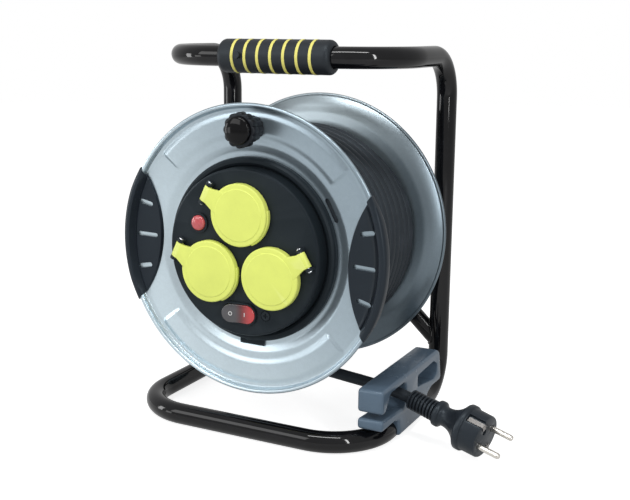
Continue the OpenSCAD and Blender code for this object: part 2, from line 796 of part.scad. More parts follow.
module panel_screw() color("#1b1c1e") on_drum()
    translate([screw_at.x, screw_at.y, face_h - panel_t - 8]) difference() {
        union() {
            cylinder(h = 8 + panel_t - 1, r = panel_screw_r);
            translate([0, 0, 8 + panel_t - 1.2]) cylinder(h = 1.5, r = 3.8);
        }
        for (a = [0, 90]) rotate([0, 0, a]) translate([-2, -0.4, 10]) cube([4, 0.8, 2]);
    }

module panel_back() color("#303337") on_drum() {
    r = core_r - core_wall - 0.4;
    top = seat_w - spigot_l;
    translate([0, 0, top - 22]) difference() {
        cylinder(h = 22, r = r);
        translate([0, 0, 2]) cylinder(h = 21, r = r - 2.5);
        rotate([0, 0, lead_angle]) translate([0, 0, lead_w - top + 22]) rotate([0, 90, 0])
            cylinder(h = r + 2, r = cord_r);
    }
}

socket_floor_t = 4;
hole_pitch = 19;
contact_hole_r = 2.8;
socket_floor_w = collar_w - socket_depth;

// Round socket insert: recess, two contact holes and two earth clip pockets
module socket_insert(i) {
    color("#1d1f22") on_drum() at_socket(i) {
        foot_w = socket_floor_w - socket_floor_t;
        difference() {
            union() {
                translate([0, 0, foot_w]) cylinder(h = collar_w - foot_w, r = collar_r);
                translate([0, 0, face_h - panel_t - 2]) cylinder(h = 2, r = collar_r + 1.5);
                for (s = [-1, 1]) translate([0, s * hole_pitch / 2, foot_w - 12])
                    cylinder(h = 12 + fine, r = 5.4);
            }
            translate([0, 0, socket_floor_w]) cylinder(h = socket_depth + 1, r = socket_bore / 2);
            for (s = [-1, 1]) {
                translate([0, s * hole_pitch / 2, foot_w - 1]) cylinder(h = 8, r = contact_hole_r);
                translate([0, s * hole_pitch / 2, foot_w - 13]) cylinder(h = 13, r = 4);
                translate([s * (socket_bore / 2 + clip_t / 2), 0, socket_floor_w + 7])
                    cube([clip_t + 1, clip_w + 0.4, 16], center = true);
            }
        }
    }
}

clip_w = 5;
clip_t = 0.8;

module socket_top() socket_insert(0);

module socket_left() socket_insert(1);

module socket_right() socket_insert(2);

module earth_clips() color("#c9b27a") on_drum() for (i = [0:2]) at_socket(i) for (s = [-1, 1])
    translate([s * (socket_bore / 2 + clip_t / 2 + 0.5), 0, socket_floor_w + 7])
        cube([clip_t, clip_w, 13.4], center = true);

module line_contacts() color("#c9a24a") on_drum() for (i = [0:2]) at_socket(i) for (s = [-1, 1])
    translate([0, s * hole_pitch / 2, socket_floor_w - socket_floor_t - 11]) ring(4, 2.5, 11);

module hinge_pins() color("#d0d3d6") on_drum() for (i = [0:2]) at_socket(i)
    translate([-hinge_reach, 0, hinge_w]) rotate([90, 0, 0])
        cylinder(h = barrel_l + 2 * (slide_gap + ear_t) + 0.8, r = hinge_pin_r, center = true);

// ---------------------------------------------------------------- lids

module lid(i) {
    r = lid_d / 2;
    under = face_h + 1;
    color("#d7e356") on_drum() at_socket(i) difference() {
        union() {
            translate([0, 0, under]) cylinder(h = lid_w - under - 0.8, r = r);
            translate([0, 0, lid_w - 0.8]) cylinder(h = 0.8, r1 = r, r2 = r - 0.9);
            translate([0, 0, lid_w - fine]) cylinder(h = 0.3 + fine, r1 = r - 4, r2 = r - 4.3);
            translate([0, 0, under]) rotate([0, 0, -38]) rotate_extrude(angle = 76)
                translate([r - 1, 0]) square([1.9, 3.4]);
            translate([0, 0, lid_w - 3]) linear_extrude(3)
                polygon([[-hinge_reach, -barrel_l / 2], [-hinge_reach + 4, -barrel_l / 2], [-r + 4, -9.5],
                    [-r + 4, 9.5], [-hinge_reach + 4, barrel_l / 2], [-hinge_reach, barrel_l / 2]]);
            translate([-hinge_reach, 0, hinge_w]) rotate([90, 0, 0])
                cylinder(h = barrel_l, r = barrel_r, center = true);
        }
        translate([0, 0, under - 1]) cylinder(h = lid_w - lid_t - under + 1, r = r + 0.1 - lid_skirt_t);
        hinge_bores(hinge_pin_r + run_gap);
    }
}

module lid_top() lid(0);

module lid_left() lid(1);

module lid_right() lid(2);

// ---------------------------------------------------------------- switch and button

rocker_l = bezel_l - 3.8;
rocker_h = bezel_h - 3.8;
rocker_pivot_w = face_h - 2;

module rocker_bezel() color("#303338") on_drum() translate([switch_at.x, switch_at.y, 0]) difference() {
    union() {
        translate([0, 0, face_h]) linear_extrude(1.6) slot_2d(bezel_l, bezel_h);
        translate([0, 0, face_h + 1.6]) linear_extrude(0.4) slot_2d(bezel_l - 0.8, bezel_h - 0.8);
        translate([0, 0, face_h - 7]) linear_extrude(7 + fine) slot_2d(bezel_l - 1.2, bezel_h - 1.2);
    }
    translate([0, 0, face_h - 8]) linear_extrude(12)
        slot_2d(rocker_l + 2 * slide_gap + 0.6, rocker_h + 2 * slide_gap);
}

module rocker() color("#a33438") on_drum()
    translate([switch_at.x, switch_at.y, rocker_pivot_w]) rotate([0, rocker_throw / 2, 0])
        intersection() {
            translate([0, 0, -3]) linear_extrude(12) slot_2d(rocker_l, rocker_h);
            rotate([90, 0, 0]) translate([0, 0, -rocker_h]) linear_extrude(2 * rocker_h)
                polygon([[-rocker_l / 2, -1], [-4, -3], [4, -3], [rocker_l / 2, -1],
                    [rocker_l / 2, 6.4], [0, 4.6], [-rocker_l / 2, 6.4]]);
        }

module switch_body() color("#1b1c1e") on_drum() translate([switch_at.x, switch_at.y, 0]) {
    translate([0, 0, face_h - 9]) linear_extrude(2) slot_2d(bezel_l - 1.6, bezel_h - 1.6);
    translate([-12, -5.5, face_h - 25]) cube([24, 11, 16 + fine]);
}

module reset_collar() color("#1b1c1e") on_drum()
    translate([button_at.x, button_at.y, face_h - panel_t - 2]) {
        ring(button_d / 2 + 1.4, button_d / 2 + slide_gap, panel_t + 2);
        translate([0, 0, panel_t + 2 - fine]) ring(button_d / 2 + 2, button_d / 2 + slide_gap, 1.6);
    }

module reset_button() color("#b5373b") on_drum()
    translate([button_at.x, button_at.y, face_h - panel_t + button_travel]) {
        cylinder(h = panel_t + 0.6, r = button_d / 2);
        translate([0, 0, panel_t + 0.6 - fine]) intersection() {
            cylinder(h = 3, r = button_d / 2);
            translate([0, 0, 3 - button_d]) sphere(r = button_d);
        }
    }

module cutout_body() color("#1b1c1e") on_drum()
    translate([button_at.x, button_at.y, face_h - panel_t - 20]) cylinder(h = 18, r = button_d / 2 + 2.5);

// ---------------------------------------------------------------- guards

guard_turn = -2.1;
guard_inner = front_r - guard_depth;

// Lens between the rim and an arc that passes the guard's inner edge and its tips
module guard_outline(rim_r) {
    tip = [sqrt(front_r * front_r - guard_half * guard_half), guard_half];
    run = tip.x - guard_inner;
    arc_r = (run * run + tip.y * tip.y) / (2 * run);
    intersection() {
        circle(r = rim_r, $fn = 128);
        translate([guard_inner + arc_r, 0]) circle(r = arc_r, $fn = 96);
    }
}

module guard_slots() {
    translate([front_r - 18.6, 0]) slot_2d(20, 3.6);
    for (s = [-1, 1]) translate([front_r - 17.4, s * 27.5]) rotate([0, 0, s * 12]) slot_2d(13, 4);
}

module guard(side) {
    clear = 0.15;
    t = guard_t;
    b = front_r - bead_r;
    rim_r = front_r + clear + 1.8;
    lip_r = bevel_in.x + 4;
    color("#23272b") on_drum() rotate([0, 0, side > 0 ? guard_turn : 180 + guard_turn]) difference() {
        intersection() {
            rotate_extrude($fn = 128) polygon([
                [lip_r, plate_w(lip_r)], plate_in, plate_out, [b - bead_r - clear, -bead_r / 2],
                [b - bead_r - clear, bead_r / 2], [b - bead_r / 2, bead_r + clear],
                [b + bead_r / 2, bead_r + clear], [front_r + clear, bead_r / 2],
                [front_r + clear, -bead_r - 2], [rim_r, -bead_r - 2], [rim_r, bead_r],
                [rim_r - 2.2, bead_r + t], [b - bead_r, bead_r + t], [b - bead_r - 2.4, t],
                [plate_in.x, plate_in.y + t], [lip_r, plate_w(lip_r) + t]]);
            translate([0, 0, -20]) linear_extrude(40) guard_outline(rim_r + 1);
        }
        translate([0, 0, -20]) linear_extrude(40) guard_slots();
    }
}

module guard_left() guard(-1);

module guard_right() guard(1);

// ---------------------------------------------------------------- crank knob

knob_screw_r = 3;
post_r = post_d / 2;
knob_base_w = -1.5;
knob_head_w = knob_l - 8;
post_base_w = plate_w(knob_r + post_r) + pad_lift;
knob_nut_r = 5.8;
knob_nut_h = 4.5;

module at_knob() {
    on_drum() translate([knob_at.x, knob_at.y, 0]) children();
}

module knob_post() color("#c2c6ca") at_knob() {
    translate([0, 0, post_base_w - 10]) cylinder(h = 10 + fine, r = knob_screw_r);
    translate([0, 0, post_base_w]) cylinder(h = knob_head_w - post_base_w, r = post_r);
    translate([0, 0, knob_head_w - fine]) cylinder(h = 2.5, r = post_r + 2.2);
}

module knob_nut() color("#c2c6ca") at_knob()
    translate([0, 0, plate_w(knob_r - knob_nut_r) - sheet_t - 0.05 - knob_nut_h]) difference() {
        cylinder(h = knob_nut_h, r = knob_nut_r, $fn = 6);
        translate([0, 0, -1]) cylinder(h = 7, r = knob_screw_r);
    }

module lobed(r, lobes, lobe_r, h) {
    linear_extrude(h) {
        circle(r = r - lobe_r * 0.75);
        for (i = [0:lobes - 1]) rotate([0, 0, 360 * i / lobes])
            translate([r - lobe_r, 0]) circle(r = lobe_r, $fn = 24);
    }
}

module knob() color("#1e2022") at_knob() {
    r = knob_d / 2;
    difference() {
        union() {
            translate([0, 0, knob_base_w]) lobed(r - 4, 12, 1.8, knob_l - 13);
            translate([0, 0, knob_base_w + 1]) cylinder(h = knob_l - 6, r = r - 5.2);
            translate([0, 0, knob_l - 13]) lobed(r, 12, 2.8, 8);
            translate([0, 0, knob_l - 5 - fine]) cylinder(h = 1.6, r1 = r - 1.8, r2 = r - 3);
        }
        translate([0, 0, knob_base_w - 1]) cylinder(h = knob_l, r = post_r + run_gap);
        translate([0, 0, knob_head_w - slide_gap]) cylinder(h = knob_l, r = post_r + 2.8);
    }
}

module knob_cap() color("#0e0f10") at_knob() {
    r = knob_d / 2 - 2.9;
    dome = 3;
    sphere_r = (r * r + dome * dome) / (2 * dome);
    cap_w = knob_l - 3.4;
    translate([0, 0, cap_w]) cylinder(h = 2.4, r = r);
    translate([0, 0, cap_w + 2.4 - fine]) intersection() {
        cylinder(h = dome, r = r);
        translate([0, 0, dome - sphere_r]) sphere(r = sphere_r);
    }
    translate([0, 0, cap_w - 1.5]) cylinder(h = 1.5 + fine, r = post_r + 2.8);
}

// ---------------------------------------------------------------- drawing

base_tube();
upright_left();
upright_right();
handle_tube();
strut_left();
strut_right();
axle_block();
axle();
axle_spacer();
axle_washer();
axle_screw();
axle_nut();
grip();
grip_bands();
grip_screw();
plug_park();
park_screws();
supply_cord();
plug_relief();
plug_body();
plug_pins();
plug_earth_strips();
front_flange();
rear_flange();
drum_core();
cord_core();
cord_winding();
front_bush();
rear_bush();
flange_screws();
socket_panel();
panel_back();
socket_top();
socket_left();
socket_right();
earth_clips();
line_contacts();
hinge_pins();
rocker_bezel();
switch_body();
reset_collar();
cutout_body();
panel_screw();
inner_lead();
guard_left();
guard_right();
knob_post();
knob_nut();
knob();
knob_cap();
lid_top();
lid_left();
lid_right();
rocker();
reset_button();
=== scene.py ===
"""Extension cord reel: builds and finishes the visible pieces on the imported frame."""
import json
import math

import bmesh
import bpy
from mathutils import Matrix, Vector

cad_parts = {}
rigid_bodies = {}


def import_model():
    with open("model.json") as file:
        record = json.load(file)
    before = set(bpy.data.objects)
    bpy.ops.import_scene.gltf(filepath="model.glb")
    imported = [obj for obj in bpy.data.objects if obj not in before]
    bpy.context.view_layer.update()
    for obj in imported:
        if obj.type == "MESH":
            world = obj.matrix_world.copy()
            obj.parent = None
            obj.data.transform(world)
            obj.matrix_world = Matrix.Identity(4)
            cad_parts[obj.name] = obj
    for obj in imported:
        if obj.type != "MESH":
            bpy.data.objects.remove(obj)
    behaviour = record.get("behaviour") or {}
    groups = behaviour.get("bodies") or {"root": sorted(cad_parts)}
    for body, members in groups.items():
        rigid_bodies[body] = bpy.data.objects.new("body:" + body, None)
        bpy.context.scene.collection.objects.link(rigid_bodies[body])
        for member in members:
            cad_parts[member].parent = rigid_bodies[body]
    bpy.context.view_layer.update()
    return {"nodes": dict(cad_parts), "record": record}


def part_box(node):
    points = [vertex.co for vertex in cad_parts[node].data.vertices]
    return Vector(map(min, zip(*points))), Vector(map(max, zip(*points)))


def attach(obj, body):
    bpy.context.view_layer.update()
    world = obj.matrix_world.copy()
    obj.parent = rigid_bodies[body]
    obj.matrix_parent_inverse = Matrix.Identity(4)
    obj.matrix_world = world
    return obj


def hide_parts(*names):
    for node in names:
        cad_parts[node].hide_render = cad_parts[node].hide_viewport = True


bl_info = {
    "name": "Extension Cord Reel",
    "version": (1, 0, 0),
    "blender": (4, 5, 0),
    "location": "View3D > Sidebar > Cord Reel",
    "description": "Builds the visible pieces of an extension cord reel on its packed frame",
    "category": "Object",
}

for leftover in list(bpy.data.objects):
    bpy.data.objects.remove(leftover)
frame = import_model()

# ------------------------------------------------------------------ places
# Sizes in this file are millimetres, and the two place matrices turn them into metres.

MM = 0.001
FLANGE_LOW, FLANGE_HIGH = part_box("front_flange")
BEAD = 3.0
RIM_Y = FLANGE_LOW.y + BEAD * MM
AXLE_Z = (FLANGE_LOW.z + FLANGE_HIGH.z) / 2

# Reel: X right, Y back from the front rim, Z up from the floor
REEL = Matrix(((MM, 0, 0, 0), (0, MM, 0, RIM_Y), (0, 0, MM, 0), (0, 0, 0, 1)))
# Drum: X right and Y up from the axle, Z forward from the front rim
DRUM = Matrix(((MM, 0, 0, 0), (0, 0, -MM, RIM_Y), (0, MM, 0, AXLE_Z), (0, 0, 0, 1)))

RIM_R = 120.0
TUBE_R = 8.75
SOCKET_ANGLE = {"top": 90, "left": 210, "right": 330}
HINGE_ANGLE = {"top": 154, "left": 154, "right": 31}
SOCKET_CIRCLE = 32.5
SOCKET_DROP = 0.8
FACE_W = 11.0
LID_W = 18.0
HINGE_W = 14.5
HINGE_REACH = 35.0
BARREL_HALF, EAR, HINGE_PLAY = 6.5, 2.6, 0.3
SEAT_W = -8.0
REAR_W = -124.8
KNOB_X, KNOB_Y = 3.48, 99.74
SWITCH_AT = (-2.5, -50.2)
BUTTON_AT = (-40.2, 21.5)

# Centre line of the free cord, in the reel's frame
CORD_ROUTE = [
    (-9, 43.5, 54.0), (1, 43.7, 53.2), (11, 43.9, 52.3), (21, 44.1, 51.3),
    (31, 44.4, 50.2), (41, 44.7, 49.1), (51, 45.0, 48.0), (61, 45.3, 46.8),
    (71, 45.6, 45.6), (81, 45.9, 44.5), (91, 46.0, 43.3), (101, 46.0, 42.0),
    (110, 45.8, 40.4), (119, 45.2, 38.4), (127.7, 44.0, 36.4)]
PLUG_YAW, PLUG_DIP, PLUG_ROLL = -12.6, 11.9, -56.0


def turn(degrees, axis):
    return Matrix.Rotation(math.radians(degrees), 4, axis)


PLUG = (REEL @ Matrix.Translation(CORD_ROUTE[-1]) @ turn(PLUG_YAW, "Z")
        @ turn(90 + PLUG_DIP, "Y") @ turn(PLUG_ROLL, "Z"))


def socket_place(which):
    """Frame of one socket: X points away from the lid's hinge, Z forward."""
    angle = math.radians(SOCKET_ANGLE[which])
    middle = (SOCKET_CIRCLE * math.cos(angle), SOCKET_CIRCLE * math.sin(angle) - SOCKET_DROP, 0)
    return DRUM @ Matrix.Translation(middle) @ turn(HINGE_ANGLE[which] - 180, "Z")


# ------------------------------------------------------------------ settings

def number(name, about, value, unit="NONE"):
    return bpy.props.FloatProperty(name=name, description=about, default=value, unit=unit)


def colour(name, about, value):
    return bpy.props.FloatVectorProperty(
        name=name, description=about, subtype="COLOR", size=3, min=0, max=1, default=value)


class ReelSizes(bpy.types.PropertyGroup):
    """Sizes of the reel's pieces"""
    tube: number("Stand tube", "Diameter of the stand's tube", 2 * TUBE_R * MM, "LENGTH")
    cord: number("Cord", "Diameter of the cord", 0.0095, "LENGTH")
    turns: number("Turns", "Turns in the outer layer of the winding", 10.4583)
    grain: number("Moulded grain", "Depth of the grain on moulded plastic", 0.00004, "LENGTH")
    spangle: number("Zinc crystal", "Width of one crystal of the zinc coat", 0.0022, "LENGTH")


class ReelColours(bpy.types.PropertyGroup):
    """Colours of the reel's finishes"""
    stand: colour("Stand", "Gloss coat of the stand", (0.004, 0.004, 0.005))
    zinc: colour("Zinc", "Zinc coat of the drum's flanges", (0.455, 0.545, 0.60))
    lid: colour("Lids", "Socket lids", (0.71, 0.785, 0.165))
    band: colour("Bands", "Bands of the grip", (0.72, 0.66, 0.17))
    grip: colour("Grip", "Body of the grip", (0.014, 0.016, 0.019))
    panel: colour("Panel", "Socket panel", (0.0105, 0.0145, 0.018))
    guard: colour("Guards", "Rim guards", (0.012, 0.016, 0.022))
    park: colour("Plug park", "Plug park", (0.088, 0.128, 0.176))
    cord: colour("Cord", "Sheath of the cord", (0.017, 0.0205, 0.0255))
    plug: colour("Plug", "Moulded plug", (0.015, 0.0185, 0.024))
    lamp: colour("Lit rocker", "Lit half of the rocker", (0.46, 0.035, 0.04))


class StudioSettings(bpy.types.PropertyGroup):
    """Light, floor and camera of the studio"""
    lens: number("Lens", "Focal length of the camera in millimetres", 59.25)
    ambient: number("Ambient", "Strength of the world's own light", 0.38)
    key: number("Key lamp", "Power of the large front lamp", 5.8, "POWER")
    strip: number("Strip lamps", "Power that the smaller lamps take their shares of", 4.2, "POWER")
    glow: number("Floor glow", "Light added to the floor where the camera sees it", 0.82)
    shine: number("Shine", "Share of the bright background that shiny surfaces see", 0.36)
    floor: colour("Floor", "Colour of the floor", (0.60, 0.60, 0.60))


# ------------------------------------------------------------------ finishes

# Numbers of the sockets that are used of nodes with several: the rays are those of the camera,
# of glossy and of clear surfaces, and the mix is the one of colours
OBJECT_PLACE, POINTINESS, VORONOI_COLOUR = 3, 7, 1
RAY_KINDS = (0, 3, 6)
MIX_A, MIX_B, MIX_COLOUR = 6, 7, 2


class Value:
    """One output of a finish, on which arithmetic adds Math nodes."""

    def __init__(self, finish, socket):
        self.finish = finish
        self.socket = socket

    def _math(self, operation, *terms):
        return self.finish.node("ShaderNodeMath", {"operation": operation}, dict(enumerate(terms)))

    def __add__(self, other):
        return self._math("ADD", self, other)

    def __sub__(self, other):
        return self._math("SUBTRACT", self, other)

    def __rsub__(self, other):
        return self._math("SUBTRACT", other, self)

    def __mul__(self, other):
        return self._math("MULTIPLY", self, other)

    def __truediv__(self, other):
        return self._math("DIVIDE", self, other)

    def __rtruediv__(self, other):
        return self._math("DIVIDE", other, self)

    __radd__ = __add__
    __rmul__ = __mul__

    def sine(self):
        return self._math("SINE", self)

    def largest(self, other):
        return self._math("MAXIMUM", self, other)

    def between(self, low, high):
        """0 at low, 1 at high, and smooth in between."""
        return self.finish.node(
            "ShaderNodeMapRange", {"interpolation_type": "SMOOTHSTEP"},
            {"Value": self, "From Min": low, "From Max": high})


class Finish:
    """The nodes of a material or of the world, with one method for every kind of node."""

    def __init__(self, holder):
        if isinstance(holder, str):
            holder = bpy.data.materials.new(holder)
        holder.use_nodes = True
        self.holder = holder
        self.tree = holder.node_tree
        self.shader = next(n for n in self.tree.nodes if n.type in ("BSDF_PRINCIPLED", "BACKGROUND"))

    def node(self, kind, settings=None, inputs=None, output=0):
        """Adds a node, its settings first, then values or links, and gives one of its outputs."""
        made = self.tree.nodes.new(kind)
        for key, value in (settings or {}).items():
            setattr(made, key, value)
        for key, value in (inputs or {}).items():
            self.put(made.inputs[key], value)
        return Value(self, made.outputs[output])

    def put(self, socket, value):
        """Links a value to a socket, or sets the socket to a plain number or colour."""
        if isinstance(value, Value):
            self.tree.links.new(value.socket, socket)
        elif socket.type == "RGBA" and len(value) == 3:
            socket.default_value = (*value, 1.0)
        else:
            socket.default_value = value

    def place(self):
        """The point in the piece's own frame, in metres."""
        return self.node("ShaderNodeTexCoord", output=OBJECT_PLACE)

    def axis(self, which):
        """X, Y or Z of the place."""
        return self.node("ShaderNodeSeparateXYZ", None, {0: self.place()}, "XYZ".index(which))

    def noise(self, size, detail=3.0, rough=0.55):
        """Noise whose features are size metres across."""
        return self.node("ShaderNodeTexNoise", None, {
            "Vector": self.place(), "Scale": 1 / size, "Detail": detail, "Roughness": rough})

    def cells(self, size):
        """A colour of its own for each cell of about that size in metres."""
        return self.node("ShaderNodeTexVoronoi", None,
                         {"Vector": self.place(), "Scale": 1 / size}, VORONOI_COLOUR)

    def edges(self):
        """1 on outer edges, 0 on flat faces and in hollows."""
        return self.node("ShaderNodeNewGeometry", output=POINTINESS).between(0.52, 0.62)

    def seen(self, shiny):
        """1 for what the camera sees, a share for shiny surfaces, and 0 for other light."""
        camera, glossy, clear = (self.node("ShaderNodeLightPath", output=i) for i in RAY_KINDS)
        return camera.largest(glossy * shiny).largest(clear)

    def mix(self, share, first, second, blend="MIX"):
        return self.node("ShaderNodeMix", {"data_type": "RGBA", "blend_type": blend},
                         {0: share, MIX_A: first, MIX_B: second}, MIX_COLOUR)

    def tone(self, shade, share, dark=0.75, light=1.2):
        """The shade made darker to lighter as share goes from 0 to 1."""
        return self.mix(share, [c * dark for c in shade], [min(1, c * light) for c in shade])

    def bump(self, height, depth, strength=1.0):
        return self.node("ShaderNodeBump", None, {
            "Height": height, "Distance": depth, "Strength": strength})

    def set(self, **sockets):
        """Fills the shader's sockets, named with _ for a space, and gives the holder back."""
        for key, value in sockets.items():
            self.put(self.shader.inputs[key.replace("_", " ")], value)
        return self.holder


# Tint of the sheen on the cool black plastics and rubber, and of the painted light and shade leaning
# across the zinc
COOL_SHEEN = (0.78, 0.91, 1.0)
PAINTED_LIGHT_TINT = (1.08, 1.0, 0.92)


def gloss_coat(name, shade):
    """Powder coat with a clear gloss: a faint orange peel and a little dust."""
    f = Finish(name)
    peel = f.noise(0.0016, 2)
    dust = f.noise(0.02, 4).between(0.45, 0.8)
    return f.set(Base_Color=f.tone(shade, dust, 0.8, 1.8), Roughness=dust * 0.06 + 0.06,
                 Specular_IOR_Level=0.33, Normal=f.bump(peel, 0.00001, 0.3))


def moulded(name, shade, rough=0.45, depth=0.00004, specular=0.22, grain=0.0005, painted_edge_highlight=0.5):
    """Moulded plastic with a fine spark grain, cloudy gloss and paler edges, a painted highlight."""
    f = Finish(name)
    fine = f.noise(grain, 2)
    cloud = f.noise(0.012, 4)
    body = f.tone(shade, fine * 0.5 + cloud * 0.5, 0.82, 1.2)
    # Paler outer edges: a painted highlight
    pale = [min(1, c * 1.6 + 0.01) for c in shade]
    return f.set(Base_Color=f.mix(f.edges() * painted_edge_highlight * 0.6, body, pale),
                 Roughness=cloud * 0.16 + rough - 0.08, Specular_IOR_Level=specular,
                 Specular_Tint=COOL_SHEEN, Normal=f.bump(fine, depth, 0.5))


def zinc_sheet(name, shade, crystal, level, painted_light_lean, painted_light_spread):
    """Zinc plated sheet: crystals, fine speckle, and painted light and shade leaning across the sheet
    in place of reflections.
    """
    f = Finish(name)
    spangle = f.node("ShaderNodeSeparateXYZ", None, {0: f.cells(crystal)})
    speckle = f.noise(0.0006, 2, 0.7)
    cloud = f.noise(0.05, 3)
    share = (spangle * 0.12 + speckle * 0.55 + cloud * 0.33).between(0.2, 0.8)
    # Painted light and shade: one side of the sheet is made lighter and the other darker, standing in
    # for reflections
    across = f.axis("X") * painted_light_lean[0] + (f.axis("Z") - AXLE_Z) * painted_light_lean[1]
    # A level below 1 darkens the whole sheet: painted shade for a flange that lies in shade
    grain = f.tone(shade, share, 0.92 * level, 1.06 * level)
    dark, light = ([1 + side * painted_light_spread * c for c in PAINTED_LIGHT_TINT] for side in (-1, 1))
    coat = f.mix(across.between(-RIM_R * MM, RIM_R * MM), dark, light)
    return f.set(Base_Color=f.mix(1.0, grain, coat, "MULTIPLY"),
                 Metallic=0.82, Roughness=spangle * 0.03 + speckle * 0.10 + 0.25,
                 Specular_IOR_Level=0.3, Normal=f.bump(speckle, 0.00001, 0.3))


def bright_metal(name, shade, rough=0.2, band=0.0006):
    """Plated or turned metal with fine turning marks."""
    f = Finish(name)
    marks = f.noise(band, 2, 0.6)
    smear = f.noise(0.004, 3)
    return f.set(Base_Color=f.tone(shade, smear, 0.8, 1.1), Metallic=1.0,
                 Roughness=smear * 0.15 + marks * 0.08 + rough - 0.1,
                 Normal=f.bump(marks, 0.00001, 0.4))


def cord_sheath(name, shade):
    """Rubber sheath: streaks along the cord, powdery scuffs and a soft sheen."""
    f = Finish(name)
    streak = f.noise(0.004, 5, 0.7)
    powder = f.noise(0.03, 5, 0.65).between(0.5, 0.75)
    return f.set(Base_Color=f.tone(shade, streak * 0.5 + powder * 0.5, 0.7, 1.9),
                 Roughness=streak * 0.15 + 0.42, Specular_IOR_Level=0.3, Specular_Tint=COOL_SHEEN,
                 Normal=f.bump(f.noise(0.0009, 3), 0.00002, 0.35))


def clear_plastic(name, shade, rough=0.12, specular=0.25):
    """Glossy tinted plastic with moulded depth."""
    f = Finish(name)
    depth = f.noise(0.003, 3)
    return f.set(Base_Color=f.tone(shade, depth, 0.65, 1.25), Roughness=depth * 0.08 + rough,
                 Specular_IOR_Level=specular, Coat_Weight=specular, Coat_Roughness=0.05,
                 Normal=f.bump(depth, 0.00003, 0.2))


def lid_plastic(name, shade):
    """Yellow-green lid: smooth moulding with a soft gloss, faint flow marks and paler edges, a painted
    highlight.
    """
    f = Finish(name)
    flow = f.noise(0.018, 3)
    fine = f.noise(0.0006, 2)
    body = f.tone(shade, flow * 0.7 + fine * 0.3, 0.88, 1.12)
    # Paler outer edges: a painted highlight
    return f.set(Base_Color=f.mix(f.edges() * 0.25, body, (0.86, 0.92, 0.36)),
                 Roughness=flow * 0.12 + 0.34, Specular_IOR_Level=0.4,
                 Normal=f.bump(fine, 0.00002, 0.35))


def rocker_plastic(name, shade, middle):
    """Rocker: a grey half and a lit red half in one clear moulding."""
    f = Finish(name)
    side = (f.axis("X") - middle) / MM
    lit = side.between(-3.5, 4.0)
    glow = side.between(1.0, 13.0)
    ribs = ((f.axis("X") * (2 * math.pi / 0.0011)).sine() * 0.5 + 0.5)
    body = f.mix(lit, (0.060, 0.059, 0.065), f.mix(glow, (0.09, 0.016, 0.018), shade))
    return f.set(Base_Color=body, Roughness=ribs * 0.05 + 0.16, Coat_Weight=0.4,
                 Coat_Roughness=0.06, Emission_Color=f.mix(glow, (0, 0, 0), shade),
                 Emission_Strength=0.06, Normal=f.bump(ribs, 0.00006, 0.4))


def printed(name, shade):
    """Flat ink with a trace of unevenness."""
    f = Finish(name)
    return f.set(Base_Color=f.tone(shade, f.noise(0.001), 0.9, 1.1), Roughness=0.4)


FINISHES = {}


def make_finishes(context):
    """One material for each slot of the record, and three variants that only the scene uses."""
    c = context.scene.reel_colours
    s = context.scene.reel_sizes
    rows = (
        (gloss_coat, "frame_black", c.stand),
        (bright_metal, "axle_steel", (0.58, 0.60, 0.62), 0.28),
        (bright_metal, "screw_steel", (0.66, 0.68, 0.70), 0.22),
        (moulded, "grip_black", c.grip, 0.46, s.grain * 2, 0.3, 0.0008),
        (moulded, "band_yellow", c.band, 0.45, s.grain, 0.3, 0.0006, 0.1),
        (moulded, "park_slate", c.park, 0.25, s.grain, 0.38, 0.0006, 0.0),
        (cord_sheath, "cord_rubber", c.cord),
        (moulded, "plug_rubber", c.plug, 0.36, s.grain, 0.3, 0.0007, 0.5),
        (bright_metal, "pin_nickel", (0.74, 0.71, 0.66), 0.2),
        (bright_metal, "contact_brass", (0.62, 0.47, 0.20), 0.25),
        (zinc_sheet, "flange_zinc", c.zinc, s.spangle, 1.0, (-0.85, -0.5), 0.30),
        (moulded, "core_black", (0.02, 0.021, 0.024), 0.5, s.grain),
        (moulded, "panel_black", c.panel, 0.44, s.grain, 0.14, 0.0006, 0.8),
        (moulded, "guard_black", c.guard, 0.38, s.grain, 0.26, 0.0006, 0.6),
        (moulded, "bush_nylon", (0.66, 0.63, 0.55), 0.4, s.grain, 0.4, 0.0006, 0.1),
        (lid_plastic, "lid_yellow", c.lid),
        (clear_plastic, "button_red", (0.52, 0.085, 0.095), 0.12, 0.45),
        (rocker_plastic, "rocker_red", c.lamp, SWITCH_AT[0] * MM),
        (moulded, "knob_black", (0.007, 0.007, 0.009), 0.38, s.grain, 0.26, 0.0006, 0.6),
        (clear_plastic, "cap_black", (0.003, 0.003, 0.0035), 0.04, 0.12),
        # Darker copies with painted shade, the zinc of the rear flange and the nickel of the earth
        # strips, and the printed marks
        (zinc_sheet, "flange_zinc_rear", c.zinc, s.spangle, 0.56, (-0.9, 0.6), 0.36),
        # A darker nickel for the earth strips: painted shade in the plug's grooves
        (bright_metal, "strip_nickel", (0.30, 0.29, 0.28), 0.35),
        (printed, "mark_white", (0.6, 0.6, 0.6)),
    )
    FINISHES.update({name: make(name, *values) for make, name, *values in rows})


# ------------------------------------------------------------------ mesh tools

def piece_of(name, verts, faces, place, sharp=38):
    """A mesh object at the origin whose points are put in place by a matrix."""
    mesh = bpy.data.meshes.new(name)
    mesh.from_pydata([place @ Vector(v) for v in verts], [], faces)
    work = bmesh.new()
    work.from_mesh(mesh)
    bmesh.ops.remove_doubles(work, verts=work.verts, dist=1e-6)
    bmesh.ops.recalc_face_normals(work, faces=work.faces)
    if work.calc_volume(signed=True) < 0:
        bmesh.ops.reverse_faces(work, faces=work.faces)
    work.to_mesh(mesh)
    work.free()
    piece = bpy.data.objects.new(name, mesh)
    bpy.context.scene.collection.objects.link(piece)
    smooth(piece, sharp)
    return piece


def smooth(piece, sharp=38):
    """Shades the piece smooth, but for edges sharper than an angle."""
    piece.data.shade_smooth()
    piece.data.set_sharp_from_angle(angle=math.radians(sharp))


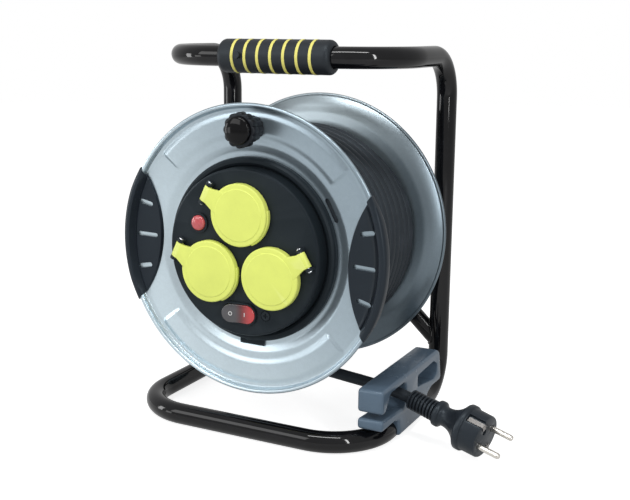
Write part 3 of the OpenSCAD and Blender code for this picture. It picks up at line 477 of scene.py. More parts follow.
def settle(piece, sharp=38):
    """Applies the piece's modifiers to its mesh."""
    bpy.context.view_layer.update()
    graph = bpy.context.evaluated_depsgraph_get()
    mesh = bpy.data.meshes.new_from_object(piece.evaluated_get(graph))
    piece.modifiers.clear()
    piece.data = mesh
    if not mesh.polygons:
        raise RuntimeError(f"{piece.name} lost its faces")
    smooth(piece, sharp)


def carve(piece, tools, operation="DIFFERENCE", sharp=38):
    """Cuts the tools out of a piece, or joins them to it."""
    for tool in tools:
        step = piece.modifiers.new("carve", "BOOLEAN")
        step.object = tool
        step.operation = operation
        step.solver = "EXACT"
    settle(piece, sharp)
    for tool in tools:
        bpy.data.objects.remove(tool)


def soften(piece, width, segments=3, angle=35, clamp=True):
    """Rounds the edges that are sharper than an angle."""
    step = piece.modifiers.new("soften", "BEVEL")
    step.width = width * MM
    step.segments = segments
    step.limit_method = "ANGLE"
    step.angle_limit = math.radians(angle)
    step.use_clamp_overlap = clamp
    settle(piece)


def fit(piece, body, slot, *nodes, look=None):
    """Gives a piece its finish and its body, and hides the CAD nodes it stands for."""
    piece.data.materials.clear()
    piece.data.materials.append(FINISHES[look or slot])
    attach(piece, body)
    if nodes:
        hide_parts(*nodes)


def steps(first, last, count):
    """Even steps from first to last, both of them included."""
    return [first + (last - first) * i / count for i in range(count + 1)]


def arc(radius, rise, first, last, count, at=(0, 0)):
    """Points of an ellipse round a middle, between two angles in radians."""
    return [(at[0] + radius * math.cos(a), at[1] + rise * math.sin(a))
            for a in steps(first, last, count)]


def lathe(profile, around, shift=None, closed=True):
    """A closed profile of (radius, height) turned round Z, with a count or a list of angles.

    shift gives the lift of a point at a radius and an angle."""
    angles = steps(0, 360, around)[:-1] if isinstance(around, int) else around
    count, size = len(angles), len(profile)
    verts = []
    for degrees in angles:
        a = math.radians(degrees)
        for r, w in profile:
            lift = shift(r, degrees) if shift else 0
            verts.append((r * math.cos(a), r * math.sin(a), w + lift))
    faces = []
    for i in range(count if closed else count - 1):
        j = (i + 1) % count
        for k in range(size):
            m = (k + 1) % size
            faces.append((i * size + k, j * size + k, j * size + m, i * size + m))
    if not closed:
        faces.append(tuple(range(size)))
        faces.append(tuple((count - 1) * size + k for k in reversed(range(size))))
    return verts, faces


def rounded(points, radii, count=6, closed=True):
    """An outline or path with each corner rounded by its own radius."""
    pts = [Vector(p) for p in points]
    made = []
    size = len(pts)
    for i, (b, r) in enumerate(zip(pts, radii)):
        if r == 0 or (not closed and i in (0, size - 1)):
            made.append(b)
            continue
        u = (pts[i - 1] - b).normalized()
        v = (pts[(i + 1) % size] - b).normalized()
        half = u.angle(v) / 2
        middle = b + (u + v).normalized() * r / math.sin(half)
        start = b + u * r / math.tan(half) - middle
        end = b + v * r / math.tan(half) - middle
        sweep = start.angle(end)
        for k in range(count + 1):
            t = k / count
            made.append(middle + start * (math.sin((1 - t) * sweep) / math.sin(sweep))
                        + end * (math.sin(t * sweep) / math.sin(sweep)))
    return made


def skin(rings, ends=True):
    """Rings of equally many points joined by faces, with a face over each end if asked."""
    size, last = len(rings[0]), len(rings) - 1
    verts = [point for ring in rings for point in ring]
    faces = [tuple(reversed(range(size))), tuple(range(last * size, (last + 1) * size))] if ends else []
    for k in range(0, last * size, size):
        faces += [(k + i, k + (i + 1) % size, k + size + (i + 1) % size, k + size + i)
                  for i in range(size)]
    return verts, faces


def prism(outline, low, high):
    """An outline in X and Y raised from low to high along Z."""
    return skin([[(p[0], p[1], z) for p in outline] for z in (low, high)])


def eased_prism(outline, low, high, edge, count=5):
    """A prism whose two rims are rounded over by edge; convex corners are rounder than that."""
    pts = [Vector(p[:2]) for p in outline]
    size = len(pts)
    area = sum(pts[i - 1].cross(p) for i, p in enumerate(pts))
    inward = []
    for i, p in enumerate(pts):
        before = (p - pts[i - 1]).normalized()
        along = (before + (pts[(i + 1) % size] - p).normalized()).normalized()
        normal = Vector((-along.y, along.x)) * math.copysign(1, area)
        inward.append(normal / max(0.6, along.dot(before)))
    turns = [math.radians(d) for d in steps(0, 90, count)]
    levels = [(edge * (1 - math.sin(t)), low + edge * (1 - math.cos(t))) for t in turns]
    levels += [(inset, high + low - z) for inset, z in reversed(levels)]
    return skin([[(*(p + n * inset), z) for p, n in zip(pts, inward)] for inset, z in levels])


def disc(radius, low, high, sides=48, at=(0, 0)):
    """A flat cylinder along Z."""
    ring = [(at[0] + radius * math.cos(2 * math.pi * i / sides),
             at[1] + radius * math.sin(2 * math.pi * i / sides)) for i in range(sides)]
    return prism(ring, low, high)


def slot_outline(length, width, at=(0, 0), tilt=0.0, sides=16):
    """A slot with round ends, as an outline."""
    half = (length - width) / 2
    c, s = math.cos(math.radians(tilt)), math.sin(math.radians(tilt))
    made = []
    for end in (1, -1):
        for i in range(sides + 1):
            a = math.pi * (i / sides - 0.5) + (0 if end > 0 else math.pi)
            x, y = end * half + width / 2 * math.cos(a), width / 2 * math.sin(a)
            made.append((at[0] + x * c - y * s, at[1] + x * s + y * c))
    return made


def sweep(path, radius, sides=24, ends=True):
    """A round tube along a path; radius is a number or a function of the share along it."""
    pts = [Vector(p) for p in path]
    count = len(pts)
    rings = []
    across = None
    for i, p in enumerate(pts):
        ahead = pts[min(i + 1, count - 1)] - pts[max(i - 1, 0)]
        ahead.normalize()
        if across is None:
            across = ahead.orthogonal().normalized()
        across = (across - ahead * across.dot(ahead)).normalized()
        up = ahead.cross(across)
        r = radius(i / (count - 1)) if callable(radius) else radius
        turns = [2 * math.pi * k / sides for k in range(sides)]
        rings.append([p + across * (r * math.cos(a)) + up * (r * math.sin(a)) for a in turns])
    return skin(rings, ends)


def smooth_share(value):
    """0 at 0 and below, 1 at 1 and above, and smooth in between."""
    value = min(1.0, max(0.0, value))
    return value * value * (3 - 2 * value)


def joined(*parts):
    """Several (verts, faces) pairs as one."""
    verts, faces = [], []
    for v, f in parts:
        base = len(verts)
        verts += list(v)
        faces += [tuple(base + i for i in face) for face in f]
    return verts, faces


# ------------------------------------------------------------------ camera, cord and plug

class REEL_OT_camera(bpy.types.Operator):
    """Place the camera at the product view"""
    bl_idname = "reel.camera"
    bl_label = "Camera"

    def execute(self, context):
        right = Vector((0.883558, 0.468295, 0.005049))
        up = Vector((-0.094279, 0.167301, 0.981388))
        back = right.cross(up)
        at = REEL @ Vector((411.289, -715.073, 332.574))
        data = bpy.data.cameras.new("camera")
        data.lens = context.scene.studio.lens
        data.sensor_width = 36
        data.shift_x = 0.0476
        data.shift_y = -0.0298
        data.clip_start, data.clip_end = 0.01, 50
        camera = bpy.data.objects.new("camera", data)
        rows = [(right[i], up[i], back[i], at[i]) for i in range(3)]
        camera.matrix_world = Matrix((*rows, (0, 0, 0, 1)))
        context.scene.collection.objects.link(camera)
        context.scene.camera = camera
        return {"FINISHED"}


class REEL_OT_cord(bpy.types.Operator):
    """Lay the free stretch of cord from the winding to the plug"""
    bl_idname = "reel.cord"
    bl_label = "Free cord"

    def execute(self, context):
        sizes = context.scene.reel_sizes
        radius = sizes.cord / MM / 2
        route = [REEL @ Vector(p) for p in CORD_ROUTE]
        line = bpy.data.curves.new("free_cord", "CURVE")
        line.dimensions = "3D"
        spline = line.splines.new("POLY")
        spline.points.add(len(route) - 1)
        for point, place in zip(spline.points, route):
            point.co = (*place, 1)
        line.bevel_depth = radius * MM
        line.bevel_resolution = 6
        line.use_fill_caps = True
        cord = bpy.data.objects.new("free_cord", line)
        context.scene.collection.objects.link(cord)
        fit(cord, "stand", "cord_rubber", "supply_cord")

        # The last of the turn from which the free cord comes, rising out of the layer
        arc = []
        for share in steps(0, 1, 14):
            a = math.radians(-95.1 - 60 * (1 - share))
            r = 101.4 - 11.5 * smooth_share(1 - share)
            arc.append((r * math.cos(a), 43.5 - 3.0 * (1 - share), 155 + r * math.sin(a)))
        leaving = piece_of("cord_leaving_drum", *sweep(arc, radius, 20), REEL)
        fit(leaving, "stand", "cord_rubber")

        relief, body, pins, strips = build_plug()
        return {"FINISHED"}


RELIEF_L, COLLAR_L, NECK_L, RING_L, FACE_Z = 25.0, 5.0, 20.5, 5.0, 70.0
PLUG_R, PIN_PITCH, PIN_R, PIN_L = 17.5, 19.0, 2.4, 19.0
PIN_TIP, PIN_ROOT = 2.2, 12.0
EARTH_HOLE_R, EARTH_HOLE_Y, EARTH_HOLE_DEPTH = 2.5, -6.5, 9.0


def build_plug():
    """The strain relief, the moulded body, the two pins and the earth strips."""
    ribs = 8
    pitch = RELIEF_L / ribs
    profile = [(0, 0)]
    for i in range(ribs):
        z, r = i * pitch, 8.2 + 0.05 * i
        profile += [(r - 0.4, z), (r, z + 0.3), (r, z + 0.52 * pitch), (r - 0.5, z + 0.60 * pitch),
                    (6.5, z + 0.64 * pitch), (6.4, z + 0.96 * pitch)]
    profile += [(7.4, RELIEF_L), (0, RELIEF_L)]
    relief = piece_of("plug_relief_ribs", *lathe(profile, 56), PLUG)
    fit(relief, "stand", "plug_rubber", "plug_relief")

    ring_z = RELIEF_L + COLLAR_L + NECK_L
    collar_z = RELIEF_L + COLLAR_L
    ring_r = PLUG_R + 1.5
    body = [(0, RELIEF_L), (9.6, RELIEF_L), (10.5, RELIEF_L + 0.5), (10.8, RELIEF_L + 1.4),
            (10.8, collar_z - 1.2), (10.3, collar_z - 0.3), (9.2, collar_z + 0.3)]
    for t in steps(0, 1, 22):
        flare = 7.8 + (ring_r - 0.4 - 7.8) * t ** 2.6 + 1.0 * math.exp(-t * 14)
        body.append((flare, collar_z + 0.8 + (NECK_L - 0.8) * t))
    top_z = ring_z + RING_L
    body += [(ring_r, ring_z + 0.6), (ring_r, top_z - 1.2), (ring_r - 0.4, top_z - 0.4),
             (ring_r - 1.2, top_z), (PLUG_R + 0.1, top_z + 0.05), (PLUG_R, top_z + 0.5),
             (PLUG_R - 0.2, FACE_Z - 1.3), (PLUG_R - 0.6, FACE_Z - 0.4), (PLUG_R - 1.4, FACE_Z),
             (0, FACE_Z)]
    moulding = piece_of("plug_moulding", *lathe(body, 72), PLUG)
    tools = []
    for side in (1, -1):
        low, high = (PLUG_R - 3, PLUG_R + 2) if side > 0 else (-PLUG_R - 2, -PLUG_R + 3)
        groove = [(-3.5, low), (3.5, low), (3.5, high), (-3.5, high)]
        tools.append(piece_of("groove_tool", *prism(groove, top_z + 0.6, FACE_Z + 2), PLUG))
        tools.append(piece_of("pin_tool", *disc(PIN_R + 0.25, FACE_Z - 1.0, FACE_Z + 2, 32,
                                                (side * PIN_PITCH / 2, 0)), PLUG))
    hole = disc(EARTH_HOLE_R, FACE_Z - EARTH_HOLE_DEPTH, FACE_Z + 2, 32, (0, EARTH_HOLE_Y))
    tools.append(piece_of("earth_tool", *hole, PLUG))
    carve(moulding, tools)
    soften(moulding, 0.35, 2, 50)
    fit(moulding, "stand", "plug_rubber", "plug_body")

    parts = []
    for side in (1, -1):
        shoulder = FACE_Z + PIN_L - PIN_TIP
        shape = [(0, FACE_Z - PIN_ROOT), (PIN_R, FACE_Z - PIN_ROOT), (PIN_R, shoulder)]
        shape += arc(PIN_R, PIN_TIP, 0.15, math.pi / 2 - 0.05, 6, (0, shoulder)) + [(0, FACE_Z + PIN_L)]
        verts, faces = lathe(shape, 32)
        parts.append(([(x + side * PIN_PITCH / 2, y, z) for x, y, z in verts], faces))
    pins = piece_of("plug_pin_pair", *joined(*parts), PLUG)
    fit(pins, "stand", "pin_nickel", "plug_pins")

    parts = []
    for side in (1, -1):
        floor = PLUG_R - 3.2
        strip = [(floor - 4, FACE_Z), (floor - 4, FACE_Z + 0.8), (floor + 0.4, FACE_Z + 0.8),
                 (floor + 0.8, FACE_Z + 0.4), (floor + 0.8, top_z + 1), (floor, top_z + 1),
                 (floor, FACE_Z)]
        if side < 0:
            strip = [(-y, z) for y, z in reversed(strip)]
        verts, faces = prism(strip, -1.9, 1.9)
        parts.append(([(z, x, y) for x, y, z in verts], faces))
    strips = piece_of("plug_earth_pair", *joined(*parts), PLUG)
    # The earth strips take the darker nickel: painted shade
    fit(strips, "stand", "pin_nickel", "plug_earth_strips", look="strip_nickel")
    return relief, moulding, pins, strips


# ------------------------------------------------------------------ stand

HALF_W, BAR_Y, UPRIGHT_Y, HANDLE_Y = 109.0, -13.0, 158.75, 32.0
HANDLE_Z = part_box("handle_tube")[1].z / MM - TUBE_R
BASE_BEND, REAR_BEND, TOP_BEND, HANDLE_BEND = 50.0, 34.0, 36.0, 54.0
BLOCK_R, STRUT_FOOT_Z = 25.0, 52.0


class REEL_OT_stand(bpy.types.Operator):
    """Bend the stand from one round tube, and add its weld seams"""
    bl_idname = "reel.stand"
    bl_label = "Stand"

    def execute(self, context):
        radius = context.scene.reel_sizes.tube / MM / 2
        low = radius
        corners = [(0, BAR_Y, low), (HALF_W, BAR_Y, low), (HALF_W, UPRIGHT_Y, low),
                   (HALF_W, UPRIGHT_Y, HANDLE_Z), (HALF_W, HANDLE_Y, HANDLE_Z),
                   (-HALF_W, HANDLE_Y, HANDLE_Z), (-HALF_W, UPRIGHT_Y, HANDLE_Z),
                   (-HALF_W, UPRIGHT_Y, low), (-HALF_W, BAR_Y, low), (0, BAR_Y, low)]
        half = [0, BASE_BEND, REAR_BEND, TOP_BEND, HANDLE_BEND]
        path = rounded(corners, half + half[::-1], 22, False)
        tube = piece_of("stand_tube", *sweep(path, radius, 48, False), REEL)
        fit(tube, "stand", "frame_black", "base_tube", "upright_left", "upright_right", "handle_tube")

        # Weld seams where the struts meet the uprights and the axle block
        seams = []
        strut_r = radius - 1
        for side in (-1, 1):
            block = Vector((0, UPRIGHT_Y, AXLE_Z / MM))
            foot = Vector((side * HALF_W, UPRIGHT_Y, STRUT_FOOT_Z))
            along = (foot - block).normalized()
            across = Vector((0, 1, 0))
            third = along.cross(across)
            on_upright, on_block = [], []
            for i in range(49):
                a = 2 * math.pi * i / 48
                edge = across * (strut_r * math.cos(a)) + third * (strut_r * math.sin(a))
                reach = math.sqrt(radius ** 2 - edge.y ** 2) * side
                on_upright.append(foot + edge - along * ((reach + edge.x) / along.x))
                rise = math.sqrt(BLOCK_R ** 2 - (strut_r * math.sin(a)) ** 2)
                on_block.append(block + edge + along * rise)
            seams += [sweep(ring, lambda t: 1.1 + 0.15 * math.sin(60 * t), 10, False)
                      for ring in (on_upright, on_block)]
        weld = piece_of("weld_seams", *joined(*seams), REEL)
        fit(weld, "stand", "frame_black")
        return {"FINISHED"}


class REEL_OT_park(bpy.types.Operator):
    """Mould the plug park on the base"""
    bl_idname = "reel.park"
    bl_label = "Plug park"

    def execute(self, context):
        width, wall, top, pocket_depth = 22.0, 4.5, 54, 14
        outline = rounded(
            [(1, 34.6), (1, top), (132, top), (138, 24), (114, 24), (104, 20.5), (94, wall), (39, wall),
             (37.2, 17.5), (29, 20.5), (1, 20.5), (1, 29.6), (46, 26.5), (51.5, 33), (51.5, 47.6),
             (18, 47.2), (8, 34.6)],
            [3, 3.5, 8, 4, 4, 3, 2.6, 2.6, 0, 4, 2.8, 2.8, 4, 3, 5, 5, 4], 6)
        side_on = REEL @ Matrix(((0, 0, 1, HALF_W), (1, 0, 0, 0), (0, 1, 0, 0), (0, 0, 0, 1)))
        body = eased_prism(outline, -width / 2, width / 2, 2.5)
        park = piece_of("plug_park_moulding", *body, side_on)
        pocket = rounded([(78, 35), (78, 45), (117, 46.5), (126, 42), (126, 33), (117, 30)],
                         [2, 2, 4, 3, 3, 4], 5)
        carve(park, [piece_of("pocket_tool", *prism(pocket, width / 2 - pocket_depth, width), side_on)])
        soften(park, 0.7, 3, 55, clamp=False)
        channel = REEL @ Matrix(((1, 0, 0, HALF_W), (0, 0, 1, 0), (0, -1, 0, TUBE_R), (0, 0, 0, 1)))
        carve(park, [piece_of("channel_tool", *disc(TUBE_R + 0.01, BAR_Y, 132), channel)])
        fit(park, "stand", "park_slate", "plug_park")
        return {"FINISHED"}


class REEL_OT_grip(bpy.types.Operator):
    """Turn the grip and its raised bands"""
    bl_idname = "reel.grip"
    bl_label = "Grip"

    def execute(self, context):
        left, right, bore, r = -42.2, 60.0, 8.8, 13.9
        first, pitch, count = -26.7, 11.8, 7
        handle = REEL @ Matrix.Translation((0, HANDLE_Y, HANDLE_Z)) @ turn(90, "Y")
        outline = rounded([(bore, left), (r, left), (r, right), (bore, right)], [0.8, 4.5, 4.5, 0.8], 8)
        shape = []
        for p, q in zip(outline, outline[1:] + outline[:1]):
            shape.append(p)
            if (q - p).length > 20 and p.x > 12:
                shape += [p.lerp(q, t) for t in steps(0, 1, 60)[1:-1]]
        grip = piece_of("grip_body", *lathe(shape, 72), handle)
        at = REEL @ Matrix.Translation((first + pitch / 2, HANDLE_Y, HANDLE_Z)) @ turn(86, "X")
        carve(grip, [piece_of("screw_tool", *disc(2.9, r - 3, r + 3, 32), at)])
        fit(grip, "stand", "grip_black", "grip")

        head_r, rim = 2.6, r - 1.7
        dome = [(0, r - 8), (1.7, r - 8), (1.7, rim - 0.7), (head_r, rim - 0.7), (head_r, rim)]
        dome += arc(head_r, 1.1, 0.15, 1.45, 6, (0, rim)) + [(0, rim + 1.1)]
        screw = piece_of("grip_screw_head", *lathe(dome, 32), at)
        bar = prism([(-1.5, -0.3), (1.5, -0.3), (1.5, 0.3), (-1.5, 0.3)], rim - 0.1, r)
        carve(screw, [piece_of("cross_tool", *bar, at @ turn(side, "Z")) for side in (45, 135)])
        fit(screw, "stand", "screw_steel", "grip_screw")

        parts = []
        for i in range(count):
            low, high = (first + pitch * i + end for end in (-1.3, 1.3))
            band = [(r - 0.6, low), (r + 0.2, low), (r + 0.2, high), (r - 0.6, high)]
            parts.append(lathe(rounded(band, [0, 0.3, 0.3, 0], 3), 72))
        bands = piece_of("grip_band_set", *joined(*parts), handle)
        fit(bands, "stand", "band_yellow", "grip_bands")
        return {"FINISHED"}


# ------------------------------------------------------------------ drum

SHEET = 1.2
HOLE_R, BEVEL_IN, BEVEL_OUT, PLATE_OUT = 62.3, 80, 87, 112
BEVEL_W, PLATE_W = -5, -3
LEAD_ANGLE, LEAD_R = 28.3, 79.9
PAD_MIDDLES = (89.0, 269.0)
PAD_IN, PAD_OUT, PAD_HALF, PAD_LIFT = 94.0, 111.0, 49.5, 1.6
PAD_SIDE, PAD_END = 7.0, 3.6


def pad_lift(r, degrees):
    """Height of the two pressed pads of the front flange: soft long sides and crisper ends."""
    middle, half = (PAD_IN + PAD_OUT) / 2, (PAD_OUT - PAD_IN) / 2
    side = smooth_share((half - abs(r - middle)) / PAD_SIDE + 0.5)
    lift = 0.0
    for at in PAD_MIDDLES:
        off = (degrees - at + 180) % 360 - 180
        lift = max(lift, smooth_share(math.radians(PAD_HALF - abs(off)) * middle / PAD_END + 0.5))
    return PAD_LIFT * lift * side


def flange_angles():
    """Angles round the front flange, closer together at the ends of the pads."""
    angles = set(steps(0, 360, 180)[:-1])
    for at in PAD_MIDDLES:
        for end in (at - PAD_HALF, at + PAD_HALF):
            angles |= {round(a % 360, 4) for a in steps(end - 3.5, end + 3.5, 28)}
    return sorted(angles)


class REEL_OT_flanges(bpy.types.Operator):
    """Press the two zinc flanges"""
    bl_idname = "reel.flanges"
    bl_label = "Flanges"

    def execute(self, context):
        def bead(middle, size, first, last):
            return arc(size, size, math.radians(first), math.radians(last), 30, middle)

        def dense(path):
            """The path with more points where the pads bend it."""
            made = [path[0]]
            for p, q in zip(path, path[1:]):
                count = max(1, int((q - p).length / 0.8)) if min(p.x, q.x) > BEVEL_OUT + 1 else 1
                made += [p.lerp(q, t) for t in steps(0, 1, count)[1:]]
            return made

        front = rounded([(HOLE_R, SEAT_W), (BEVEL_IN, SEAT_W), (BEVEL_OUT, BEVEL_W),
                         (PLATE_OUT, PLATE_W), (115.4, -2.2), (116.7, 0.1)],
                        [0, 9, 9, 6, 0.8, 0], 7, False)
        back = rounded([(117.2, -0.4), (116.3, -2.6), (PLATE_OUT + 0.2, PLATE_W - SHEET),
                        (BEVEL_OUT + 0.4, BEVEL_W - SHEET), (BEVEL_IN + 0.4, SEAT_W - SHEET),
                        (HOLE_R, SEAT_W - SHEET)], [0, 1, 6, 8, 9, 0], 6, False)
        profile = dense(front) + bead((118.2, 1.2), 1.8, 214, -124)[1:] + dense(back)
        sheet = lathe(profile, flange_angles(),
                      lambda r, degrees: pad_lift(r, degrees) if r < PLATE_OUT + 1 else 0)
        flange = piece_of("front_flange_sheet", *sheet, DRUM, 50)
        slot = DRUM @ turn(LEAD_ANGLE, "Z") @ Matrix.Translation((LEAD_R, 0, 0)) @ turn(90, "Z")
        carve(flange, [piece_of("slot_tool", *prism(slot_outline(21, 4.4), -16, 4), slot)], sharp=50)
        fit(flange, "drum", "flange_zinc", "front_flange")

        bends, bore_r = [0, 30, 30, 30, 30, 0], 11
        front = rounded([(bore_r, REAR_W), (86, REAR_W), (96, -125.3), (104, -126.7), (111, -128.9),
                         (117.9, -132.4)], bends, 8, False)
        back = rounded([(118.4, -134.6), (111, -130.3), (104, -128.1), (96, -126.7),
                        (86, REAR_W - SHEET), (bore_r, REAR_W - SHEET)], bends, 8, False)
        profile = front + bead((119.35, -134.35), 1.65, 120, -125) + back
        rear = piece_of("rear_flange_sheet", *lathe(profile, 180), DRUM, 50)
        # The rear flange takes a darker zinc: painted shade
        fit(rear, "drum", "flange_zinc", "rear_flange", look="flange_zinc_rear")
        return {"FINISHED"}


class REEL_OT_winding(bpy.types.Operator):
    """Wind the cord on the drum"""
    bl_idname = "reel.winding"
    bl_label = "Winding"

    def execute(self, context):
        sizes = context.scene.reel_sizes
        radius = sizes.cord / MM / 2
        wind_r, pitch, first_w = 91.05, 10.0, 14.65
        start, per_turn = 210.0, 90
        tail, dive = 18, 6.5
        points = int(sizes.turns * per_turn)
        path = []
        for i in range(-tail, points + tail + 1):
            t = i / per_turn
            a = math.radians(start + 360 * t)
            # Both ends dive below the layer, and the lay is never quite even
            r = wind_r - dive * smooth_share(max(0, -i, i - points) / tail)
            r += 0.22 * math.sin(2.3 * a + 0.7) + 0.16 * math.sin(5.1 * a)
            w = first_w + min(max(t, 0), sizes.turns) * pitch
            w += 0.20 * math.sin(3 * a) + 0.12 * math.sin(7.3 * a)
            path.append((r * math.cos(a), r * math.sin(a), -w))
        outer = piece_of("wound_cord", *sweep(path, radius, 20), DRUM)
        fit(outer, "drum", "cord_rubber", "cord_winding")

        # The layers below show only through the gaps, as turns laid the other way
        bed_r, core_r, low, high, count = 84.0, 65.5, -124.2, -10.0, 11
        width = (high - low) / count
        profile = [(core_r, high)]
        for i in range(count):
            middle = high - (i + 0.5) * width
            profile += [(bed_r - radius + radius * math.sin(a), middle + width / 2 * math.cos(a))
                        for a in map(math.radians, steps(20, 160, 8))]
        profile.append((core_r, low))
        bed = piece_of("cord_layers_below", *lathe(profile, 120), DRUM)
        fit(bed, "drum", "cord_rubber", "cord_core")
        return {"FINISHED"}


GUARD_TURN = -2.1
GUARD_IN, GUARD_HALF = 86.5, 57.0


def sheet_front(r):
    """Height of the front flange's face at a radius."""
    if r < BEVEL_OUT:
        return SEAT_W + max(0, r - BEVEL_IN) * (BEVEL_W - SEAT_W) / (BEVEL_OUT - BEVEL_IN)
    return BEVEL_W + (min(r, PLATE_OUT) - BEVEL_OUT) * (PLATE_W - BEVEL_W) / (PLATE_OUT - BEVEL_OUT)


class REEL_OT_guards(bpy.types.Operator):
    """Mould the two rim guards"""
    bl_idname = "reel.guards"
    bl_label = "Rim guards"

    def execute(self, context):
        run = math.sqrt(RIM_R ** 2 - GUARD_HALF ** 2) - GUARD_IN
        arc_r = (run * run + GUARD_HALF ** 2) / (2 * run)
        arc_x = GUARD_IN + arc_r
        rim, flat_r, thick, gap = 121.95, 113.0, 2.2, 0.02
        tip = math.degrees(math.asin(GUARD_HALF / RIM_R)) + 1.4

        def inner(degrees):
            """Radius at which the guard's bowed inner edge crosses an angle."""
            b, c = arc_x * math.cos(math.radians(degrees)), arc_x ** 2 - arc_r ** 2
            return min(112.6, b - math.sqrt(max(0, b * b - c)))

        def hump(r, middle):
            return math.exp(-((r - middle) / 0.9) ** 2)

        def section(degrees):
            """The guard's cross-section at an angle: flatter towards the guard's tips."""
            r0 = inner(degrees)
            end = 1 - smooth_share((abs(degrees) - tip + 3.0) / 3.0) * 0.55
            full = smooth_share((tip - abs(degrees)) / 13.0)
            made = []
            for t in steps(0, 1, 16):
                r = r0 + (flat_r - r0) * t
                h = thick * end * math.sqrt(min(1, max(0, (r - r0) / 1.2)))
                ridge = 0.55 * hump(r, 111.5) - 0.5 * hump(r, 113.6)
                made.append((r, sheet_front(r) + gap + max(0.1, h + ridge * end)))
            crown = [(115.0, 2.6), (116.2, 4.7), (118.2, 5.2), (120.0, 4.8), (121.4, 3.6),
                     (rim, 1.6), (rim, -1.5), (rim - 0.1, -3.6), (rim - 0.6, -4.8),
                     (rim - 1.3, -5.0), (120.2, -4.2), (120.15, -1.0), (120.15, 0.8),
                     (119.2, 2.4), (117.8, 3.1), (116.0, 2.6), (115.0, 1.2), (114.3, -0.5),
                     (114.0, -2.0)]
            for r, w in crown:
                if w > 3:
                    w = 3.15 + (w - 3.15) * (0.3 + 0.7 * full)
                elif r > 120 and w < -0.7:
                    w = -0.7 + (w + 0.7) * (0.1 + 0.9 * full)
                made.append((r if r < 120.2 else 120.2 + (r - 120.2) * (0.4 + 0.6 * full), w))
            made += [(r, sheet_front(r) + gap) for r in steps(flat_r, r0, 5)]
            return [(r * math.cos(math.radians(degrees)), r * math.sin(math.radians(degrees)), w)
                    for r, w in made]

        shell = skin([section(degrees) for degrees in steps(-tip, tip, 120)])
        for name, at in (("guard_right", GUARD_TURN), ("guard_left", 180 + GUARD_TURN)):
            place = DRUM @ turn(at, "Z")
            guard = piece_of(name + "_moulding", *shell, place, 42)
            bow = piece_of("bow_tool", *disc(arc_r + 0.05, -14, 12, 288, (arc_x, 0)), place)
            carve(guard, [bow], "INTERSECT", 42)
            slots = [slot_outline(20, 3.6, (101.4, 0))]
            slots += [slot_outline(13, 4, (102.6, s * 27.5), s * 12) for s in (-1, 1)]
            carve(guard, [piece_of("slot_tool", *prism(o, -12, 9), place) for o in slots], sharp=42)
            fit(guard, "drum", "guard_black", name)
        return {"FINISHED"}


# ------------------------------------------------------------------ panel

class REEL_OT_lids(bpy.types.Operator):
    """Mould the three socket lids"""
    bl_idname = "reel.lids"
    bl_label = "Lids"

    def execute(self, context):
        r, disc_r, wall, under = 25.5, 20.8, 1.5, FACE_W + 1
        top, rim, hollow = LID_W + 0.3, LID_W - 0.15, LID_W - 2.5
        outer = rounded([(0, top), (disc_r, top), (disc_r + 0.5, rim), (r, rim), (r, under),
                         (r - wall, under), (r - wall, hollow), (0, hollow)],
                        [0, 0.3, 0.3, 1.2, 0.3, 0.3, 0.6, 0], 5)
        lip = rounded([(r - 1, under), (r + 0.9, under), (r + 0.9, under + 3.4), (r - 1, under + 4.2)],
                      [0, 0.3, 0.6, 0], 3)
        root = 9.5
        side = [(-HINGE_REACH, BARREL_HALF), (-HINGE_REACH + 4, BARREL_HALF),
                (-r + 4, root), (-r + 8, root)]
        tab = rounded([(x, -y) for x, y in side] + side[::-1], [0.4, 3, 3, 0, 0, 3, 3, 0.4], 4)
        for which in ("top", "left", "right"):
            place = socket_place(which)
            lid = piece_of("lid_" + which + "_moulding", *lathe(outer, 96), place)
            lip_piece = piece_of("lip_tool", *lathe(lip, steps(-38, 38, 40), closed=False), place)
            tab_piece = piece_of("tab_tool", *prism(tab, LID_W - 3, LID_W), place)
            soften(tab_piece, 0.5, 3, 50)
            barrel_place = place @ Matrix.Translation((-HINGE_REACH, 0, HINGE_W)) @ turn(90, "X")
            barrel = piece_of("barrel_tool", *disc(3.0, -BARREL_HALF, BARREL_HALF, 40), barrel_place)
            soften(barrel, 0.4, 2, 50)
            carve(lid, [tab_piece, barrel, lip_piece], "UNION")
            carve(lid, [piece_of("bore_tool", *disc(1.25, -9, 9, 32), barrel_place)])
            fit(lid, "lid_" + which, "lid_yellow", "lid_" + which)
        return {"FINISHED"}


class REEL_OT_hinge_pins(bpy.types.Operator):
    """Turn the hinge pins with their domed heads"""
    bl_idname = "reel.hinge_pins"
    bl_label = "Hinge pins"

    def execute(self, context):
        half = BARREL_HALF + HINGE_PLAY + EAR + 0.4
        pin_r, head_r, rise = 1.2, 2.1, 0.9
        end = [(pin_r, half - 0.5), (head_r, half - 0.4), *arc(head_r, rise, 0.0, 1.45, 6, (0, half))]
        shape = [(0, -half - rise), *((r, -z) for r, z in reversed(end)), *end, (0, half + rise)]
        turned = lathe(shape, 32)
        parts = []
        for which in ("top", "left", "right"):
            at = socket_place(which) @ Matrix.Translation((-HINGE_REACH, 0, HINGE_W)) @ turn(90, "X")
            parts.append(([at @ Vector(v) for v in turned[0]], turned[1]))
        pins = piece_of("hinge_pin_set", *joined(*parts), Matrix())
        fit(pins, "drum", "screw_steel", "hinge_pins")
        return {"FINISHED"}


